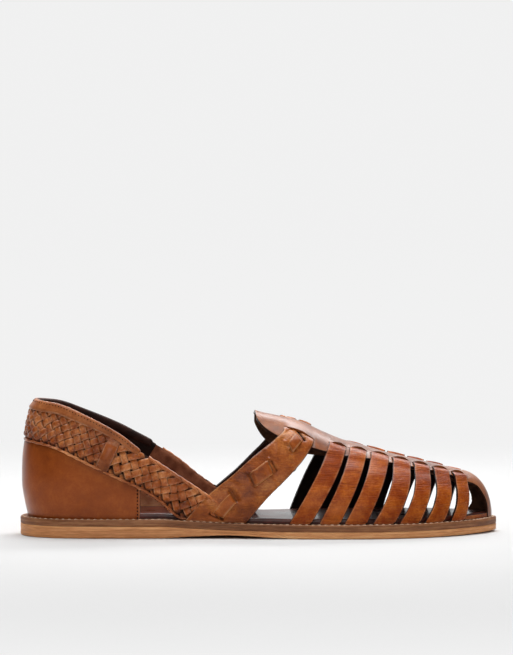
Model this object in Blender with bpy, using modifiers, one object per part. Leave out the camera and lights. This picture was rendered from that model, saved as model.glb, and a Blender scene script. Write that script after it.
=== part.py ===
"""Fisherman sandal, right foot: a flat woven-leather sandal with seven pairs of vamp straps.

The leather upper stands on a two-layer sole. The heel points to -X, the toe to +X, the medial
side to +Y. Tables are in millimetres from the back of the heel and from the ground; the scene
is in metres, with its origin on the ground under the middle of the sole.
"""

import math

import bmesh
import bpy
import numpy as np

MM = 0.001
LENGTH = 295.0  # outsole, heel to toe: an EU 43 sandal
GAP = 0.3  # clearance between neighbouring pieces
LEATHER = 2.0  # wall of the upper
COUNTER_LEATHER = 2.2
WELT_LEDGE, TOE_LEDGE = 3.8, 2.8  # the sole edge stands out this far beyond the upper
MIDSOLE_THICKNESS = 4.3
INSOLE_THICKNESS, INSOLE_CLEARANCE = 3.0, 1.6
RIDGE_Y_TOE = 7.0  # the tip of the toe lies this far to the medial side
FAN_TOE = 21.0  # ribs of the toe start this far behind its tip
FAN_HEEL = 58.0  # ribs of the heel start this far in front of its back
LATERAL, MEDIAL = -1, 1

# Plan of the sole: distance of each edge from the centre line.
SOLE_PLAN = (
    # x, lateral, medial
    (0.0, 0.0, 0.0),
    (3.0, 13.5, 13.5),
    (10.0, 23.0, 22.5),
    (20.0, 29.5, 28.5),
    (40.0, 34.0, 33.0),
    (60.0, 35.5, 33.0),
    (90.0, 37.0, 31.0),
    (120.0, 39.5, 31.0),
    (150.0, 44.0, 36.0),
    (180.0, 48.0, 44.5),
    (200.0, 49.3, 48.2),
    (215.0, 49.0, 49.0),
    (235.0, 45.5, 46.8),
    (255.0, 38.0, 41.2),
    (270.0, 28.0, 34.2),
    (282.0, 15.8, 25.8),
    (290.0, 5.2, 18.0),
)
# Side profile of the sole.
SOLE_PROFILE = (
    # x, underside, top of the midsole
    (0.0, 0.0, 11.5),
    (10.0, 0.0, 11.5),
    (84.0, 0.0, 11.5),
    (100.0, 0.9, 10.6),
    (127.0, 1.9, 9.3),
    (152.0, 0.7, 8.7),
    (170.0, 0.0, 8.5),
    (236.0, 0.0, 8.5),
    (258.0, 0.2, 8.8),
    (280.0, 0.5, 8.9),
    (295.0, 0.9, 9.2),
)
# Height of the last's ridge: the vamp from 145 forward, the leg of the foot behind it.
RIDGE = (
    # x, height
    (0.0, 104.0),
    (60.0, 104.0),
    (90.0, 102.0),
    (110.0, 96.0),
    (130.0, 85.0),
    (145.0, 75.8),
    (161.0, 72.0),
    (173.0, 68.8),
    (186.0, 62.8),
    (198.0, 57.7),
    (210.0, 54.2),
    (223.0, 50.1),
    (248.0, 43.9),
    (260.0, 41.0),
    (272.0, 37.5),
)
# Superellipse exponent of the vamp's cross-sections.
FULLNESS = (
    # x, exponent
    (140.0, 1.95),
    (165.0, 1.85),
    (200.0, 1.95),
    (235.0, 2.1),
    (280.0, 2.1),
)
# How far the rear walls lean inwards over the sole.
REAR_LEAN = (
    # height above the midsole, back of the heel, its corners, quarters
    (0.0, 1.2, 0.5, 0.0),
    (8.6, -0.6, -0.7, -0.8),
    (21.0, -2.3, -1.1, -0.9),
    (33.0, -2.2, 0.0, -0.2),
    (51.0, -0.2, 3.2, 2.5),
    (64.0, 2.6, 7.0, 5.6),
    (73.0, 7.2, 11.2, 8.4),
    (80.0, 11.5, 15.0, 11.0),
)
LEAN_AT = (3.8, 15.0, 38.0)  # x of the lean table's three places
# The spine: the centre piece of the vamp, from the tongue's tip to the toe cap.
SPINE = (
    # x, half width
    (145.2, 9.0),
    (147.0, 15.4),
    (150.5, 19.0),
    (156.0, 22.0),
    (166.0, 26.0),
    (185.0, 27.0),
    (212.0, 25.0),
    (240.0, 21.5),
    (262.0, 18.0),
    (277.0, 14.8),
)
TONGUE_STATIONS = {LATERAL: (145.2, 147.2, 151.0), MEDIAL: (145.2, 146.6, 149.5)}
CAP_EDGE = (
    # share of the way down the toe, the cap's reach round it: lateral, medial
    (0.0, 27.2, 25.6),
    (0.07, 19.3, 21.5),
    (0.19, 14.0, 18.9),
    (0.4, 11.0, 17.8),
    (0.6, 8.9, 18.0),
    (0.8, 8.6, 20.6),
    (1.0, 9.2, 24.0),
)
# Centre lines of the vamp straps on either side: x at the foot and half way up the vamp. Both
# sides of a pair meet at the same x on the ridge.
STRAPS = (
    # lateral foot, lateral half way, medial foot, medial half way, ridge
    (169.5, 185.5, 173.8, 185.5, 196.0),
    (187.5, 199.7, 190.2, 199.8, 208.4),
    (203.3, 214.3, 206.3, 214.2, 221.5),
    (220.7, 230.9, 221.4, 227.2, 234.0),
    (236.9, 245.3, 234.4, 240.4, 246.2),
    (252.7, 259.4, 248.2, 253.5, 257.8),
    (267.9, 272.2, 262.6, 266.6, 269.0),
)
STRAP_WIDTHS = (
    # along x, in the same places
    (13.4, 11.5, 12.6, 12.2, 10.0),
    (12.8, 11.2, 12.8, 12.2, 10.5),
    (13.8, 11.6, 12.8, 12.0, 11.2),
    (13.6, 11.8, 11.6, 10.6, 10.8),
    (12.9, 10.4, 10.8, 10.4, 10.0),
    (12.4, 9.9, 10.8, 10.6, 10.0),
    (9.4, 8.0, 9.8, 9.0, 8.8),
)
# The broad instep strap.
INSTEP = (
    # height above the midsole, lateral rear and front edges, medial rear and front edges
    (0.0, 99.5, 137.0, 106.0, 143.0),
    (15.0, 112.5, 149.5, 119.5, 155.5),
    (30.0, 130.0, 164.5, 136.0, 169.5),
    (40.0, 141.0, 173.5, 145.5, 177.0),
    (48.0, 151.0, 178.5, 153.5, 180.5),
    (54.0, 158.0, 180.0, 160.0, 182.0),
)
INSTEP_TOP = {LATERAL: (157.0, 178.5), MEDIAL: (156.0, 180.0)}  # where it meets the spine
# The woven quarter band round the heel.
BAND = (
    # x, lower edge lateral, lower edge medial, upper edge lateral, upper edge medial
    (3.0, 58.5, 58.5, 83.0, 83.0),
    (20.0, 54.0, 54.0, 79.5, 80.0),
    (40.0, 45.0, 46.0, 72.5, 74.0),
    (60.0, 35.5, 37.5, 62.5, 66.5),
    (72.0, 30.0, 32.5, 53.5, 60.5),
    (84.0, 22.5, 25.0, 46.0, 54.0),
    (98.0, 11.5, 15.0, 36.8, 44.8),
    (112.0, 10.0, 10.5, 27.5, 33.5),
    (126.0, 9.5, 10.0, 18.0, 24.0),
)
BAND_END = {LATERAL: 97.0, MEDIAL: 101.0}  # its last station before the instep strap
BAND_JOIN = 16.0  # height of the instep strap's rear edge that the band runs into
COUNTER_FRONT = {LATERAL: 72.5, MEDIAL: 97.0}
BINDING_FRONT = {LATERAL: 73.5, MEDIAL: 83.5}
BINDING_LEATHER = 1.0
BINDING_HEIGHT = 6.0
# Keeper tabs: strips over the band, from the counter to the binding.
KEEPER = (
    # x of the centre, half width, share of the way up the open band
    (46.5, 4.6, -0.3),
    (50.5, 4.4, 0.14),
    (54.5, 4.6, 0.62),
    (57.5, 5.4, 1.0),
)
KEEPER_LEATHER = 1.5

COLOURS = {
    # name: sRGB colour, roughness
    "outsole": ((0.71, 0.49, 0.33), 0.6),
    "midsole": ((0.46, 0.30, 0.2), 0.6),
    "insole": ((0.24, 0.13, 0.1), 0.35),
    "upper": ((0.57, 0.33, 0.19), 0.45),
    "heel_counter": ((0.49, 0.27, 0.17), 0.4),
    "collar_binding": ((0.70, 0.45, 0.29), 0.45),
    "keeper_lateral": ((0.52, 0.30, 0.2), 0.4),
    "keeper_medial": ((0.52, 0.30, 0.2), 0.4),
}


def column(table, index):
    return np.array([row[index] for row in table])


def smooth_read(table, index, x):
    """A table's column at x, along a curve that doesn't overshoot between its rows."""
    knots, values = column(table, 0), column(table, index)
    spans = np.diff(knots)
    slopes = np.diff(values) / spans
    inner = slopes[:-1] * slopes[1:]
    means = np.where(inner > 0, 2 * inner / np.where(inner > 0, slopes[:-1] + slopes[1:], 1), 0)
    tangents = np.concatenate([slopes[:1], means, slopes[-1:]])
    x = np.clip(x, knots[0], knots[-1])
    i = np.clip(np.searchsorted(knots, x, side="right") - 1, 0, len(spans) - 1)
    t = (x - knots[i]) / spans[i]
    return (
        values[i] * (1 + 2 * t) * (1 - t) ** 2
        + values[i + 1] * t * t * (3 - 2 * t)
        + spans[i] * t * (1 - t) * (tangents[i] * (1 - t) - tangents[i + 1] * t)
    )


def ease(share):
    """A share kept within 0 and 1, with soft ends."""
    share = np.clip(share, 0, 1)
    return share * share * (3 - 2 * share)


def through_three(values, share):
    """The parabola with these values at 0, a half and 1."""
    low, middle, high = values
    ends = low * (1 - share) * (1 - 2 * share) + high * share * (2 * share - 1)
    return ends + 4 * middle * share * (1 - share)


# ---------------------------------------------------------------- plan and last


def closed_curve(points, steps):
    """A centripetal Catmull-Rom curve round the points."""
    points = np.array(points)
    curve = []
    for i in range(len(points)):
        near = [points[(i + k - 1) % len(points)] for k in range(4)]
        knots = np.cumsum([0] + [math.sqrt(math.dist(a, b)) for a, b in zip(near, near[1:])])
        for t in np.linspace(knots[1], knots[2], steps, endpoint=False):
            level = near
            for order in (1, 2):
                level = [
                    (a * (knots[k + order] - t) + b * (t - knots[k])) / (knots[k + order] - knots[k])
                    for k, (a, b) in enumerate(zip(level, level[1:]))
                ]
            a, b = level
            curve.append((a * (knots[2] - t) + b * (t - knots[1])) / (knots[2] - knots[1]))
    return np.array(curve)


CURVE_STEPS = 16
SOLE_CURVE = closed_curve(
    [(x, -lateral) for x, lateral, _ in SOLE_PLAN]
    + [(LENGTH, RIDGE_Y_TOE)]
    + [(x, medial) for x, _, medial in SOLE_PLAN[:0:-1]],
    CURVE_STEPS,
)
TIP_INDEX = CURVE_STEPS * len(SOLE_PLAN)


def feather_inset():
    """How far the upper stands in from the sole's edge, at each point of the outline."""
    return WELT_LEDGE + (TOE_LEDGE - WELT_LEDGE) * ease((SOLE_CURVE[:, 0] - 230) / 60)


def inset_curve(inset):
    """The sole's outline moved inwards, one half for each side, from heel to toe."""
    along = np.roll(SOLE_CURVE, -1, axis=0) - np.roll(SOLE_CURVE, 1, axis=0)
    along /= np.linalg.norm(along, axis=1)[:, None]
    inwards = np.stack([-along[:, 1], along[:, 0]], axis=1)
    moved = SOLE_CURVE + np.reshape(inset, (-1, 1)) * inwards
    return {
        LATERAL: moved[: TIP_INDEX + 1],
        MEDIAL: np.concatenate([moved[:1], moved[TIP_INDEX:][::-1]]),
    }


def sole_top(x):
    return smooth_read(SOLE_PROFILE, 2, x)


class Side:
    """One side of the last, as ribs from the ridge out to the feather line round the sole."""

    def __init__(self, side):
        self.side = side
        self.foot = inset_curve(feather_inset())[side]
        steps = np.linalg.norm(np.diff(self.foot, axis=0), axis=1)
        self.length = steps.sum()
        self.share = np.concatenate([[0], np.cumsum(steps)]) / self.length
        x = self.foot[:, 0]
        toe = np.clip((x - 248) / (x[-1] - 248), 0, 1)
        heel = np.clip((78 - x) / (78 - x[0]), 0, 1)
        root_x = x - FAN_TOE * toe**2 + FAN_HEEL * heel**2
        self.root = np.stack([root_x, RIDGE_Y_TOE * np.clip((root_x - 130) / 140, 0, 1)], axis=1)
        self.base = sole_top(x) + GAP
        self.rise = smooth_read(RIDGE, 1, root_x) - self.base
        self.fullness = smooth_read(FULLNESS, 1, x)
        self.reach = np.linalg.norm(self.foot - self.root, axis=1)

    def share_out(self, level):
        """Share of each rib's length that the wall stands out from the ridge, at a share of the rise."""
        vamp = (1 - np.clip(level, 0, 1) ** self.fullness) ** (1 / self.fullness)
        x, height = self.foot[:, 0], level * self.rise
        leans = [smooth_read(REAR_LEAN, place, height) for place in (1, 2, 3)]
        back, middle, front = LEAN_AT
        to_corner = ease((x - back) / (middle - back))
        to_quarter = ease((x - middle) / (front - middle))
        lean = leans[0] + (leans[1] - leans[0]) * to_corner + (leans[2] - leans[1]) * to_quarter
        rear = ease((128 - x) / 40)
        return rear * (1 - lean / self.reach) + (1 - rear) * vamp

    def slice_at(self, level):
        """The wall all along this side, at shares of the rise."""
        out = self.share_out(level)[:, None]
        plan = self.root + (self.foot - self.root) * out
        return np.column_stack([plan, self.base + level * self.rise])

    def at_share(self, share, height):
        """The wall at a share of the way from heel to toe, at a height over the ground."""
        cut = self.slice_at((height - self.base) / self.rise)
        return np.array([np.interp(share, self.share, cut[:, k]) for k in range(3)])

    def at_x(self, x, level):
        """The wall at x, at a share of the rise."""
        cut = self.slice_at(np.full(len(self.share), level))
        return np.array([x] + [np.interp(x, cut[:, 0], cut[:, k]) for k in (1, 2)])

    def at_height(self, x, height):
        """The wall at x, at a height over the ground."""
        cut = self.slice_at((height - self.base) / self.rise)
        return np.array([x, np.interp(x, cut[:, 0], cut[:, 1]), height])

    def over(self, x, out):
        """The vamp at x, at a distance out from the ridge's line."""
        tip_out = (x - self.root[-1, 0]) / self.reach[-1]
        top = (1 - max(tip_out, 0) ** self.fullness[-1]) ** (1 / self.fullness[-1])
        levels = top * np.cos(np.linspace(0, math.pi / 2, 46))
        section = np.array([self.at_x(x, level) for level in levels])
        ridge = RIDGE_Y_TOE * min(max((x - 130) / 140, 0), 1)
        outs = self.side * (section[:, 1] - ridge)
        keep = np.concatenate([[True], np.diff(np.maximum.accumulate(outs)) > 1e-6])
        return np.array([x, ridge + self.side * out, np.interp(out, outs[keep], section[keep, 2])])

    def share_of_x(self, x):
        return float(np.interp(x, self.foot[:, 0], self.share))


SIDES = {side: Side(side) for side in (LATERAL, MEDIAL)}


# ---------------------------------------------------------------- mesh helpers


def place(point):
    """Table millimetres to scene metres."""
    return ((point[0] - LENGTH / 2) * MM, point[1] * MM, point[2] * MM)


def leather(name):
    colour, roughness = COLOURS[name]
    material = bpy.data.materials.new(name)
    material.use_nodes = True
    shader = material.node_tree.nodes["Principled BSDF"]
    linear = [c / 12.92 if c < 0.04045 else ((c + 0.055) / 1.055) ** 2.4 for c in colour]
    shader.inputs["Base Color"].default_value = (*linear, 1)
    shader.inputs["Roughness"].default_value = roughness
    return material


def add_object(name, mesh_builder, collection):
    mesh = bpy.data.meshes.new(name)
    mesh_builder.to_mesh(mesh)
    mesh_builder.free()
    mesh.materials.append(leather(name))
    mesh.shade_smooth()
    mesh.set_sharp_from_angle(angle=math.radians(40))
    piece = bpy.data.objects.new(name, mesh)
    collection.objects.link(piece)
    return piece


def loft(rings, caps=((0, 1, 2, 3),)):
    """A solid through rings of points, closed at both ends by faces on these places of a ring."""
    builder = bmesh.new()
    rows = [[builder.verts.new(place(point)) for point in ring] for ring in rings]
    for low, high in zip(rows, rows[1:]):
        pairs = list(zip(low, high))
        for (a, d), (b, c) in zip(pairs, pairs[1:] + pairs[:1]):
            builder.faces.new((a, b, c, d))
    for row in (rows[0], rows[-1]):
        for cap in caps:
            builder.faces.new([row[place] for place in cap])
    bmesh.ops.recalc_face_normals(builder, faces=builder.faces)
    return builder


class Sheet:
    """An open sheet of quads; grids that share an edge share its points."""

    def __init__(self):
        self.builder = bmesh.new()

    def grid(self, rows):
        verts = [[self.builder.verts.new(place(point)) for point in row] for row in rows]
        for low, high in zip(verts, verts[1:]):
            for a, b, c, d in zip(low, low[1:], high[1:], high):
                self.builder.faces.new((a, b, c, d))

    def solid(self, name, thickness, collection):
        """The sheet given a wall on its inner side."""
        bmesh.ops.remove_doubles(self.builder, verts=self.builder.verts, dist=0.02 * MM)
        bmesh.ops.recalc_face_normals(self.builder, faces=self.builder.faces)
        centre = np.mean([vert.co[:] for vert in self.builder.verts], axis=0)
        facing = sum(
            float(np.dot(face.normal, np.array(face.calc_center_median()) - centre)) * face.calc_area()
            for face in self.builder.faces
        )
        if facing < 0:
            bmesh.ops.reverse_faces(self.builder, faces=self.builder.faces)
        piece = add_object(name, self.builder, collection)
        wall = piece.modifiers.new("wall", "SOLIDIFY")
        wall.thickness = thickness * MM
        wall.offset = -1
        return piece


# ---------------------------------------------------------------- sole


PLATE_STATIONS = 46


def plate(inset, bottom, top):
    """A layer of the sole: its outline inset, between two heights that are functions of x."""
    outline = inset_curve(inset)
    lateral, medial = outline[LATERAL], outline[MEDIAL]
    heel, toe = lateral[0], lateral[-1]
    turn = (1 - np.cos(np.linspace(0, math.pi, PLATE_STATIONS))) / 2
    bends = [row[0] for row in SOLE_PROFILE if heel[0] + 5 < row[0] < toe[0] - 5]
    stations = np.concatenate([heel[0] + (toe[0] - heel[0]) * turn[1:-1], bends])
    spans = [
        (x, float(np.interp(x, *lateral.T)), float(np.interp(x, *medial.T)))
        for x in np.unique(np.round(stations, 1))
    ]
    first, last = (0.25 * (span[2] - span[1]) for span in (spans[0], spans[-1]))
    spans.insert(0, (heel[0], heel[1] - first, heel[1] + first))
    spans.append((toe[0], toe[1] - last, toe[1] + last))
    return loft(
        [
            [(x, near, bottom(x)), (x, far, bottom(x)), (x, far, top(x)), (x, near, top(x))]
            for x, near, far in spans
        ]
    )


def underside(x):
    return float(smooth_read(SOLE_PROFILE, 1, x))


def midsole_top(x):
    return float(sole_top(x))


def split_height(x):
    """The joint between outsole and midsole."""
    return midsole_top(x) - MIDSOLE_THICKNESS


def add_sole(collection):
    add_object("outsole", plate(0, underside, split_height), collection)
    add_object("midsole", plate(0, lambda x: split_height(x) + GAP, midsole_top), collection)
    insole = plate(
        feather_inset() + COUNTER_LEATHER + INSOLE_CLEARANCE,
        lambda x: midsole_top(x) + GAP,
        lambda x: midsole_top(x) + GAP + INSOLE_THICKNESS,
    )
    add_object("insole", insole, collection)


# ---------------------------------------------------------------- upper


def strap_edge(index, side, which, level):
    """x of a vamp strap's rear (-1) or front (+1) edge at a share of the rise."""
    first = 0 if side == LATERAL else 2
    centre, width = (
        through_three((*row[first : first + 2], row[4]), level)
        for row in (STRAPS[index], STRAP_WIDTHS[index])
    )
    return centre + which * width / 2


def spine_half(x):
    return float(smooth_read(SPINE, 1, x))


def level_of_spine_edge(side, x):
    """Share of the rise at which the spine's edge lies."""
    point = SIDES[side].over(x, spine_half(x))
    levels = np.linspace(0.3, 1, 71)
    heights = [SIDES[side].at_x(x, level)[2] for level in levels]
    return float(np.interp(point[2], heights, levels))


def spine_row(lateral_x, medial_x, cells):
    """Points across the spine, from its lateral edge to its medial edge."""
    row = []
    for t in np.linspace(-1, 1, cells + 1):
        side = LATERAL if t < 0 else MEDIAL
        x = (lateral_x + medial_x) / 2 + t * (medial_x - lateral_x) / 2
        row.append(SIDES[side].over(x, abs(t) * spine_half(x)))
    return row


SPINE_CELLS = 8
LEG_CELLS = 9
INSTEP_CELLS = 6
INSTEP_ROWS = 7  # above the band
BAND_ROWS = 4


def strap_stations(index, side):
    """x of a strap's edges and middle at the spine's edge, and the share of the rise there."""
    level = 0.85
    for _ in range(3):
        rear, front = (strap_edge(index, side, which, level) for which in (-1, 1))
        level = level_of_spine_edge(side, (rear + front) / 2)
    return [rear, (rear + front) / 2, front], level


def add_strap(sheet, index, side):
    """A vamp strap, from the spine's edge to the sole."""
    stations, top_level = strap_stations(index, side)
    start = math.acos(min(top_level, 1))
    rows = [[SIDES[side].over(x, spine_half(x)) for x in stations]]
    for angle in np.linspace(start, math.pi / 2, LEG_CELLS + 1)[1:]:
        level = max(math.cos(angle), 0)
        rear, front = (strap_edge(index, side, which, level) for which in (-1, 1))
        rows.append([SIDES[side].at_x(x, level) for x in (rear, (rear + front) / 2, front)])
    sheet.grid(rows)


def instep_stations(side):
    """x of the instep strap's columns where they meet the spine."""
    return np.linspace(*INSTEP_TOP[side], INSTEP_CELLS + 1)


def instep_x(side, across, height):
    """x at a share of the way across the instep strap, at a height over the midsole."""
    edges = (1, 2) if side == LATERAL else (3, 4)
    rear, front = (smooth_read(INSTEP, index, height) for index in edges)
    return float(rear + (front - rear) * across)


def join_heights():
    """Heights over the midsole of the instep strap's rows that the band runs into."""
    return np.linspace(0, BAND_JOIN, BAND_ROWS + 1)


def add_instep_strap(sheet, side):
    """The broad strap, in columns from the sole up to the spine's edge."""
    wall = SIDES[side]
    columns = []
    for across, top_x in zip(np.linspace(0, 1, INSTEP_CELLS + 1), instep_stations(side)):
        top = wall.over(top_x, spine_half(top_x))
        reach = top[2] - midsole_top(top_x) - GAP - BAND_JOIN
        points = []
        for height in join_heights():
            x = instep_x(side, across, height)
            points.append(wall.at_height(x, midsole_top(x) + GAP + height))
        for share in np.linspace(0, 1, INSTEP_ROWS + 1)[1:-1]:
            height = BAND_JOIN + reach * share
            x = instep_x(side, across, height)
            x += (top_x - instep_x(side, across, BAND_JOIN + reach)) * share**3
            points.append(wall.at_height(x, midsole_top(x) + GAP + height))
        columns.append(points + [top])
    sheet.grid(columns)


def add_spine(sheet):
    """The spine and tongue, in rows that meet the straps' edges."""
    ends = {side: list(TONGUE_STATIONS[side]) for side in SIDES}
    for side in SIDES:
        ends[side] += list(instep_stations(side))
        for index in range(len(STRAPS)):
            ends[side] += strap_stations(index, side)[0]
    rows = [spine_row(*pair, SPINE_CELLS) for pair in zip(ends[LATERAL], ends[MEDIAL])]
    sheet.grid(rows)
    return rows[-1]


def toe_rib(turn):
    """The last's side that this turn round the toe lies on, with the rib's root and foot there."""
    wall = SIDES[LATERAL if turn < 0 else MEDIAL]
    share = 1 - abs(turn)
    ends = [
        np.array([np.interp(share, wall.share, line[:, k]) for k in (0, 1)])
        for line in (wall.root, wall.foot)
    ]
    return wall, *ends


def toe_point(turn, out):
    """The toe's dome: turn runs round the toe from its tip, negative to the lateral side."""
    wall, root, foot = toe_rib(turn)
    base, rise, power = (
        np.interp(1 - abs(turn), wall.share, line) for line in (wall.base, wall.rise, wall.fullness)
    )
    plan = root + (foot - root) * out
    return np.array([*plan, base + rise * (1 - out**power) ** (1 / power)])


def find_on_toe(point):
    """The turn and the share out of a point of the toe's dome."""
    best = None
    for turn in np.linspace(-0.4, 0.4, 161):
        _, root, foot = toe_rib(turn)
        rib = foot - root
        out = np.dot(point[:2] - root, rib) / np.dot(rib, rib)
        miss = np.linalg.norm(root + rib * out - point[:2])
        if 0 <= out <= 1 and (best is None or miss < best[0]):
            best = (miss, turn, out)
    return best[1:]


CAP_ROWS = 7


def add_toe_cap(sheet, start_row):
    """The spine's front end, down over the toe to the sole."""
    columns = []
    last_turns = {LATERAL: find_on_toe(start_row[0])[0], MEDIAL: find_on_toe(start_row[-1])[0]}
    for point, foot in zip(start_row, np.linspace(-1, 1, len(start_row))):
        turn, out = find_on_toe(point)
        side = LATERAL if foot < 0 else MEDIAL
        column = 1 if side == LATERAL else 2
        angles = np.linspace(math.asin(out), math.pi / 2, CAP_ROWS + 1)
        points = [point]
        for t, angle in zip(np.linspace(0, 1, CAP_ROWS + 1)[1:], angles[1:]):
            edge = foot * float(smooth_read(CAP_EDGE, column, t)) / SIDES[side].length
            here = edge + (turn - abs(foot) * last_turns[side]) * (1 - t) ** 2
            points.append(toe_point(here, min(math.sin(angle), 1)))
        columns.append(points)
    sheet.grid([list(row) for row in zip(*columns)])


def band_edges(side, x):
    """Heights of the woven band's lower and upper edges."""
    offset = 0 if side == LATERAL else 1
    return [float(smooth_read(BAND, index + offset, x)) for index in (1, 3)]


def band_shares(side, last_x, cells):
    """Even steps from the back of the heel to x."""
    return np.linspace(0, SIDES[side].share_of_x(last_x), cells + 1)


def add_band(sheet, side):
    """Half of the woven band, from the back of the heel into the instep strap's rear edge."""
    wall = SIDES[side]
    columns = []
    for share in band_shares(side, BAND_END[side], 20):
        foot_x = float(np.interp(share, wall.share, wall.foot[:, 0]))
        low, high = band_edges(side, foot_x)
        columns.append([wall.at_share(share, z) for z in np.linspace(low, high, BAND_ROWS + 1)])
    join = []
    for height in join_heights():
        rear = instep_x(side, 0, height)
        join.append(wall.at_height(rear, midsole_top(rear) + GAP + height))
    columns.append([0.5 * (a + b) for a, b in zip(columns[-1], join)])
    columns.append(join)
    sheet.grid(columns)


def add_upper(collection):
    sheet = Sheet()
    last_row = add_spine(sheet)
    add_toe_cap(sheet, last_row)
    for side in SIDES:
        add_instep_strap(sheet, side)
        add_band(sheet, side)
        for index in range(len(STRAPS)):
            add_strap(sheet, index, side)
    sheet.solid("upper", LEATHER, collection)


# ---------------------------------------------------------------- heel


def add_heel_counter(collection):
    """The smooth wall round the heel, from the sole up to the band."""
    sheet = Sheet()
    for side in SIDES:
        wall = SIDES[side]
        columns = []
        for share in band_shares(side, COUNTER_FRONT[side], 15):
            foot_x = float(np.interp(share, wall.share, wall.foot[:, 0]))
            low = midsole_top(foot_x) + GAP
            high = band_edges(side, foot_x)[0] - 1.5 * GAP
            columns.append([wall.at_share(share, z) for z in np.linspace(low, high, 6)])
        sheet.grid(columns)
    sheet.solid("heel_counter", COUNTER_LEATHER, collection)


def wall_frame(side, share, height):
    """A point of the wall, its outward direction and its upward direction."""
    wall = SIDES[side]
    point = wall.at_share(share, height)
    up = wall.at_share(share, height + 1) - wall.at_share(share, height - 1)
    up /= np.linalg.norm(up)
    step = 0.004
    ahead, behind = (wall.at_share(max(share + k, 0), height) for k in (step, -step))
    if share < step:
        behind = ahead * np.array([1, -1, 1])
    out = np.cross(up, ahead - behind) * side
    return point, out / np.linalg.norm(out), up


def add_collar_binding(collection):
    """The folded strip over the band's upper edge, a channel open downwards."""
    near, far, over, low = 2 * GAP, -LEATHER - 3 * GAP, 2 * GAP, -BINDING_HEIGHT
    channel = (
        # out, up
        (near + BINDING_LEATHER, low),
        (near + BINDING_LEATHER, over + BINDING_LEATHER),
        (far - BINDING_LEATHER, over + BINDING_LEATHER),
        (far - BINDING_LEATHER, low),
        (far, low),
        (far, over),
        (near, over),
        (near, low),
    )
    rings = []
    for side in (LATERAL, MEDIAL):
        half = []
        for share in band_shares(side, BINDING_FRONT[side], 16):
            foot_x = float(np.interp(share, SIDES[side].share, SIDES[side].foot[:, 0]))
            point, out, up = wall_frame(side, share, band_edges(side, foot_x)[1])
            half.append([point + out * o + up * u for o, u in channel])
        rings = half[::-1] if side == LATERAL else rings + half[1:]
    ends = ((0, 1, 6, 7), (1, 2, 5, 6), (2, 3, 4, 5))
    add_object("collar_binding", loft(rings, ends), collection)


def add_keeper(name, side, collection):
    """A strip laid over the band's outside, from the counter to the binding."""
    wall = SIDES[side]
    rings = []
    for x, half, rise in KEEPER:
        ring = []
        for offset in (GAP, GAP + KEEPER_LEATHER):
            corners = []
            for across in (-half, half):
                share = wall.share_of_x(x + across)
                low, high = band_edges(side, x + across)
                high -= BINDING_HEIGHT + GAP
                point, out, _ = wall_frame(side, share, low + rise * (high - low))
                corners.append(point + out * offset)
            ring += corners if offset == GAP else corners[::-1]
        rings.append(ring)
    add_object(name, loft(rings), collection)


def main():
    for old in list(bpy.data.objects):
        bpy.data.objects.remove(old, do_unlink=True)
    collection = bpy.data.collections.new("fisherman_sandal")
    bpy.context.scene.collection.children.link(collection)
    add_sole(collection)
    add_upper(collection)
    add_heel_counter(collection)
    add_collar_binding(collection)
    add_keeper("keeper_lateral", LATERAL, collection)
    add_keeper("keeper_medial", MEDIAL, collection)


main()
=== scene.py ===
"""Fisherman sandal, right foot: the looks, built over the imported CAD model.

The heel points to -X, the toe to +X, the medial side to +Y. Tables are in millimetres from the
back of the heel and from the ground.
"""

import functools
import math

import bmesh
import bpy
import numpy as np
from mathutils import Matrix, Vector


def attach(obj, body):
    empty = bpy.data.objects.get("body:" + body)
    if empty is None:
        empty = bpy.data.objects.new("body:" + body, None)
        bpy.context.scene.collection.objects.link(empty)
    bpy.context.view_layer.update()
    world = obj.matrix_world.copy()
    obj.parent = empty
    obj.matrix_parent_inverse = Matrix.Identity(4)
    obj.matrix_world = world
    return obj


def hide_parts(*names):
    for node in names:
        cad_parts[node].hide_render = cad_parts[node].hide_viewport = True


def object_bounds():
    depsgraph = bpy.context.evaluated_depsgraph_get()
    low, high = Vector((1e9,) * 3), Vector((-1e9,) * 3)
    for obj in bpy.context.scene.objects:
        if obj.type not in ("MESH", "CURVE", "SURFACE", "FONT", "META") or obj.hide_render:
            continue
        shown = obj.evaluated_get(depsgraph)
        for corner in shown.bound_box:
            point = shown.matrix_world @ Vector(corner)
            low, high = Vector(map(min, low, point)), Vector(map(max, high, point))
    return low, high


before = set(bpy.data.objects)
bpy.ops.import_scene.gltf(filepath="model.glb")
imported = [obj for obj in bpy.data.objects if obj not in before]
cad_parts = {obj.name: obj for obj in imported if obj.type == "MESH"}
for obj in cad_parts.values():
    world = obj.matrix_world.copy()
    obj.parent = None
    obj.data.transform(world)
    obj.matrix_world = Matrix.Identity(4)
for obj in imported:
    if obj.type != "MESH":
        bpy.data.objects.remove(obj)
CAD_BOX = [list(corner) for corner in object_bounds()]

LENGTH = 295.0
MM = (CAD_BOX[1][0] - CAD_BOX[0][0]) / LENGTH
ORIGIN_X = CAD_BOX[0][0]
GROUND = CAD_BOX[0][2]
# Between the midsole and what stands on it.
GAP = 0.3
LEATHER, MIDSOLE_THICKNESS, INSOLE_THICKNESS = 2.0, 4.3, 3.0
# How far the sole stands out past the upper, and at the toe.
WELT_LEDGE, TOE_LEDGE = 3.8, 2.8
TOE_LEDGE_FROM, TOE_LEDGE_LENGTH = 230.0, 60.0
# y of the ridge over the foot at the toe.
RIDGE_Y_TOE = 7.0
# Where the ridge starts to turn to that side, and over what length.
RIDGE_TURN, RIDGE_TURN_LENGTH = 130.0, 140.0
# Past these x the last's ribs fan out towards the tip and towards the heel's back, by this much.
TOE_FAN_FROM, HEEL_FAN_FROM = 248.0, 78.0
TOE_FAN, HEEL_FAN = 21.0, 58.0
# The upright rear wall gives way to the rounded vamp over this stretch of x.
REAR_END, REAR_BLEND = 128.0, 40.0
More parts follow.
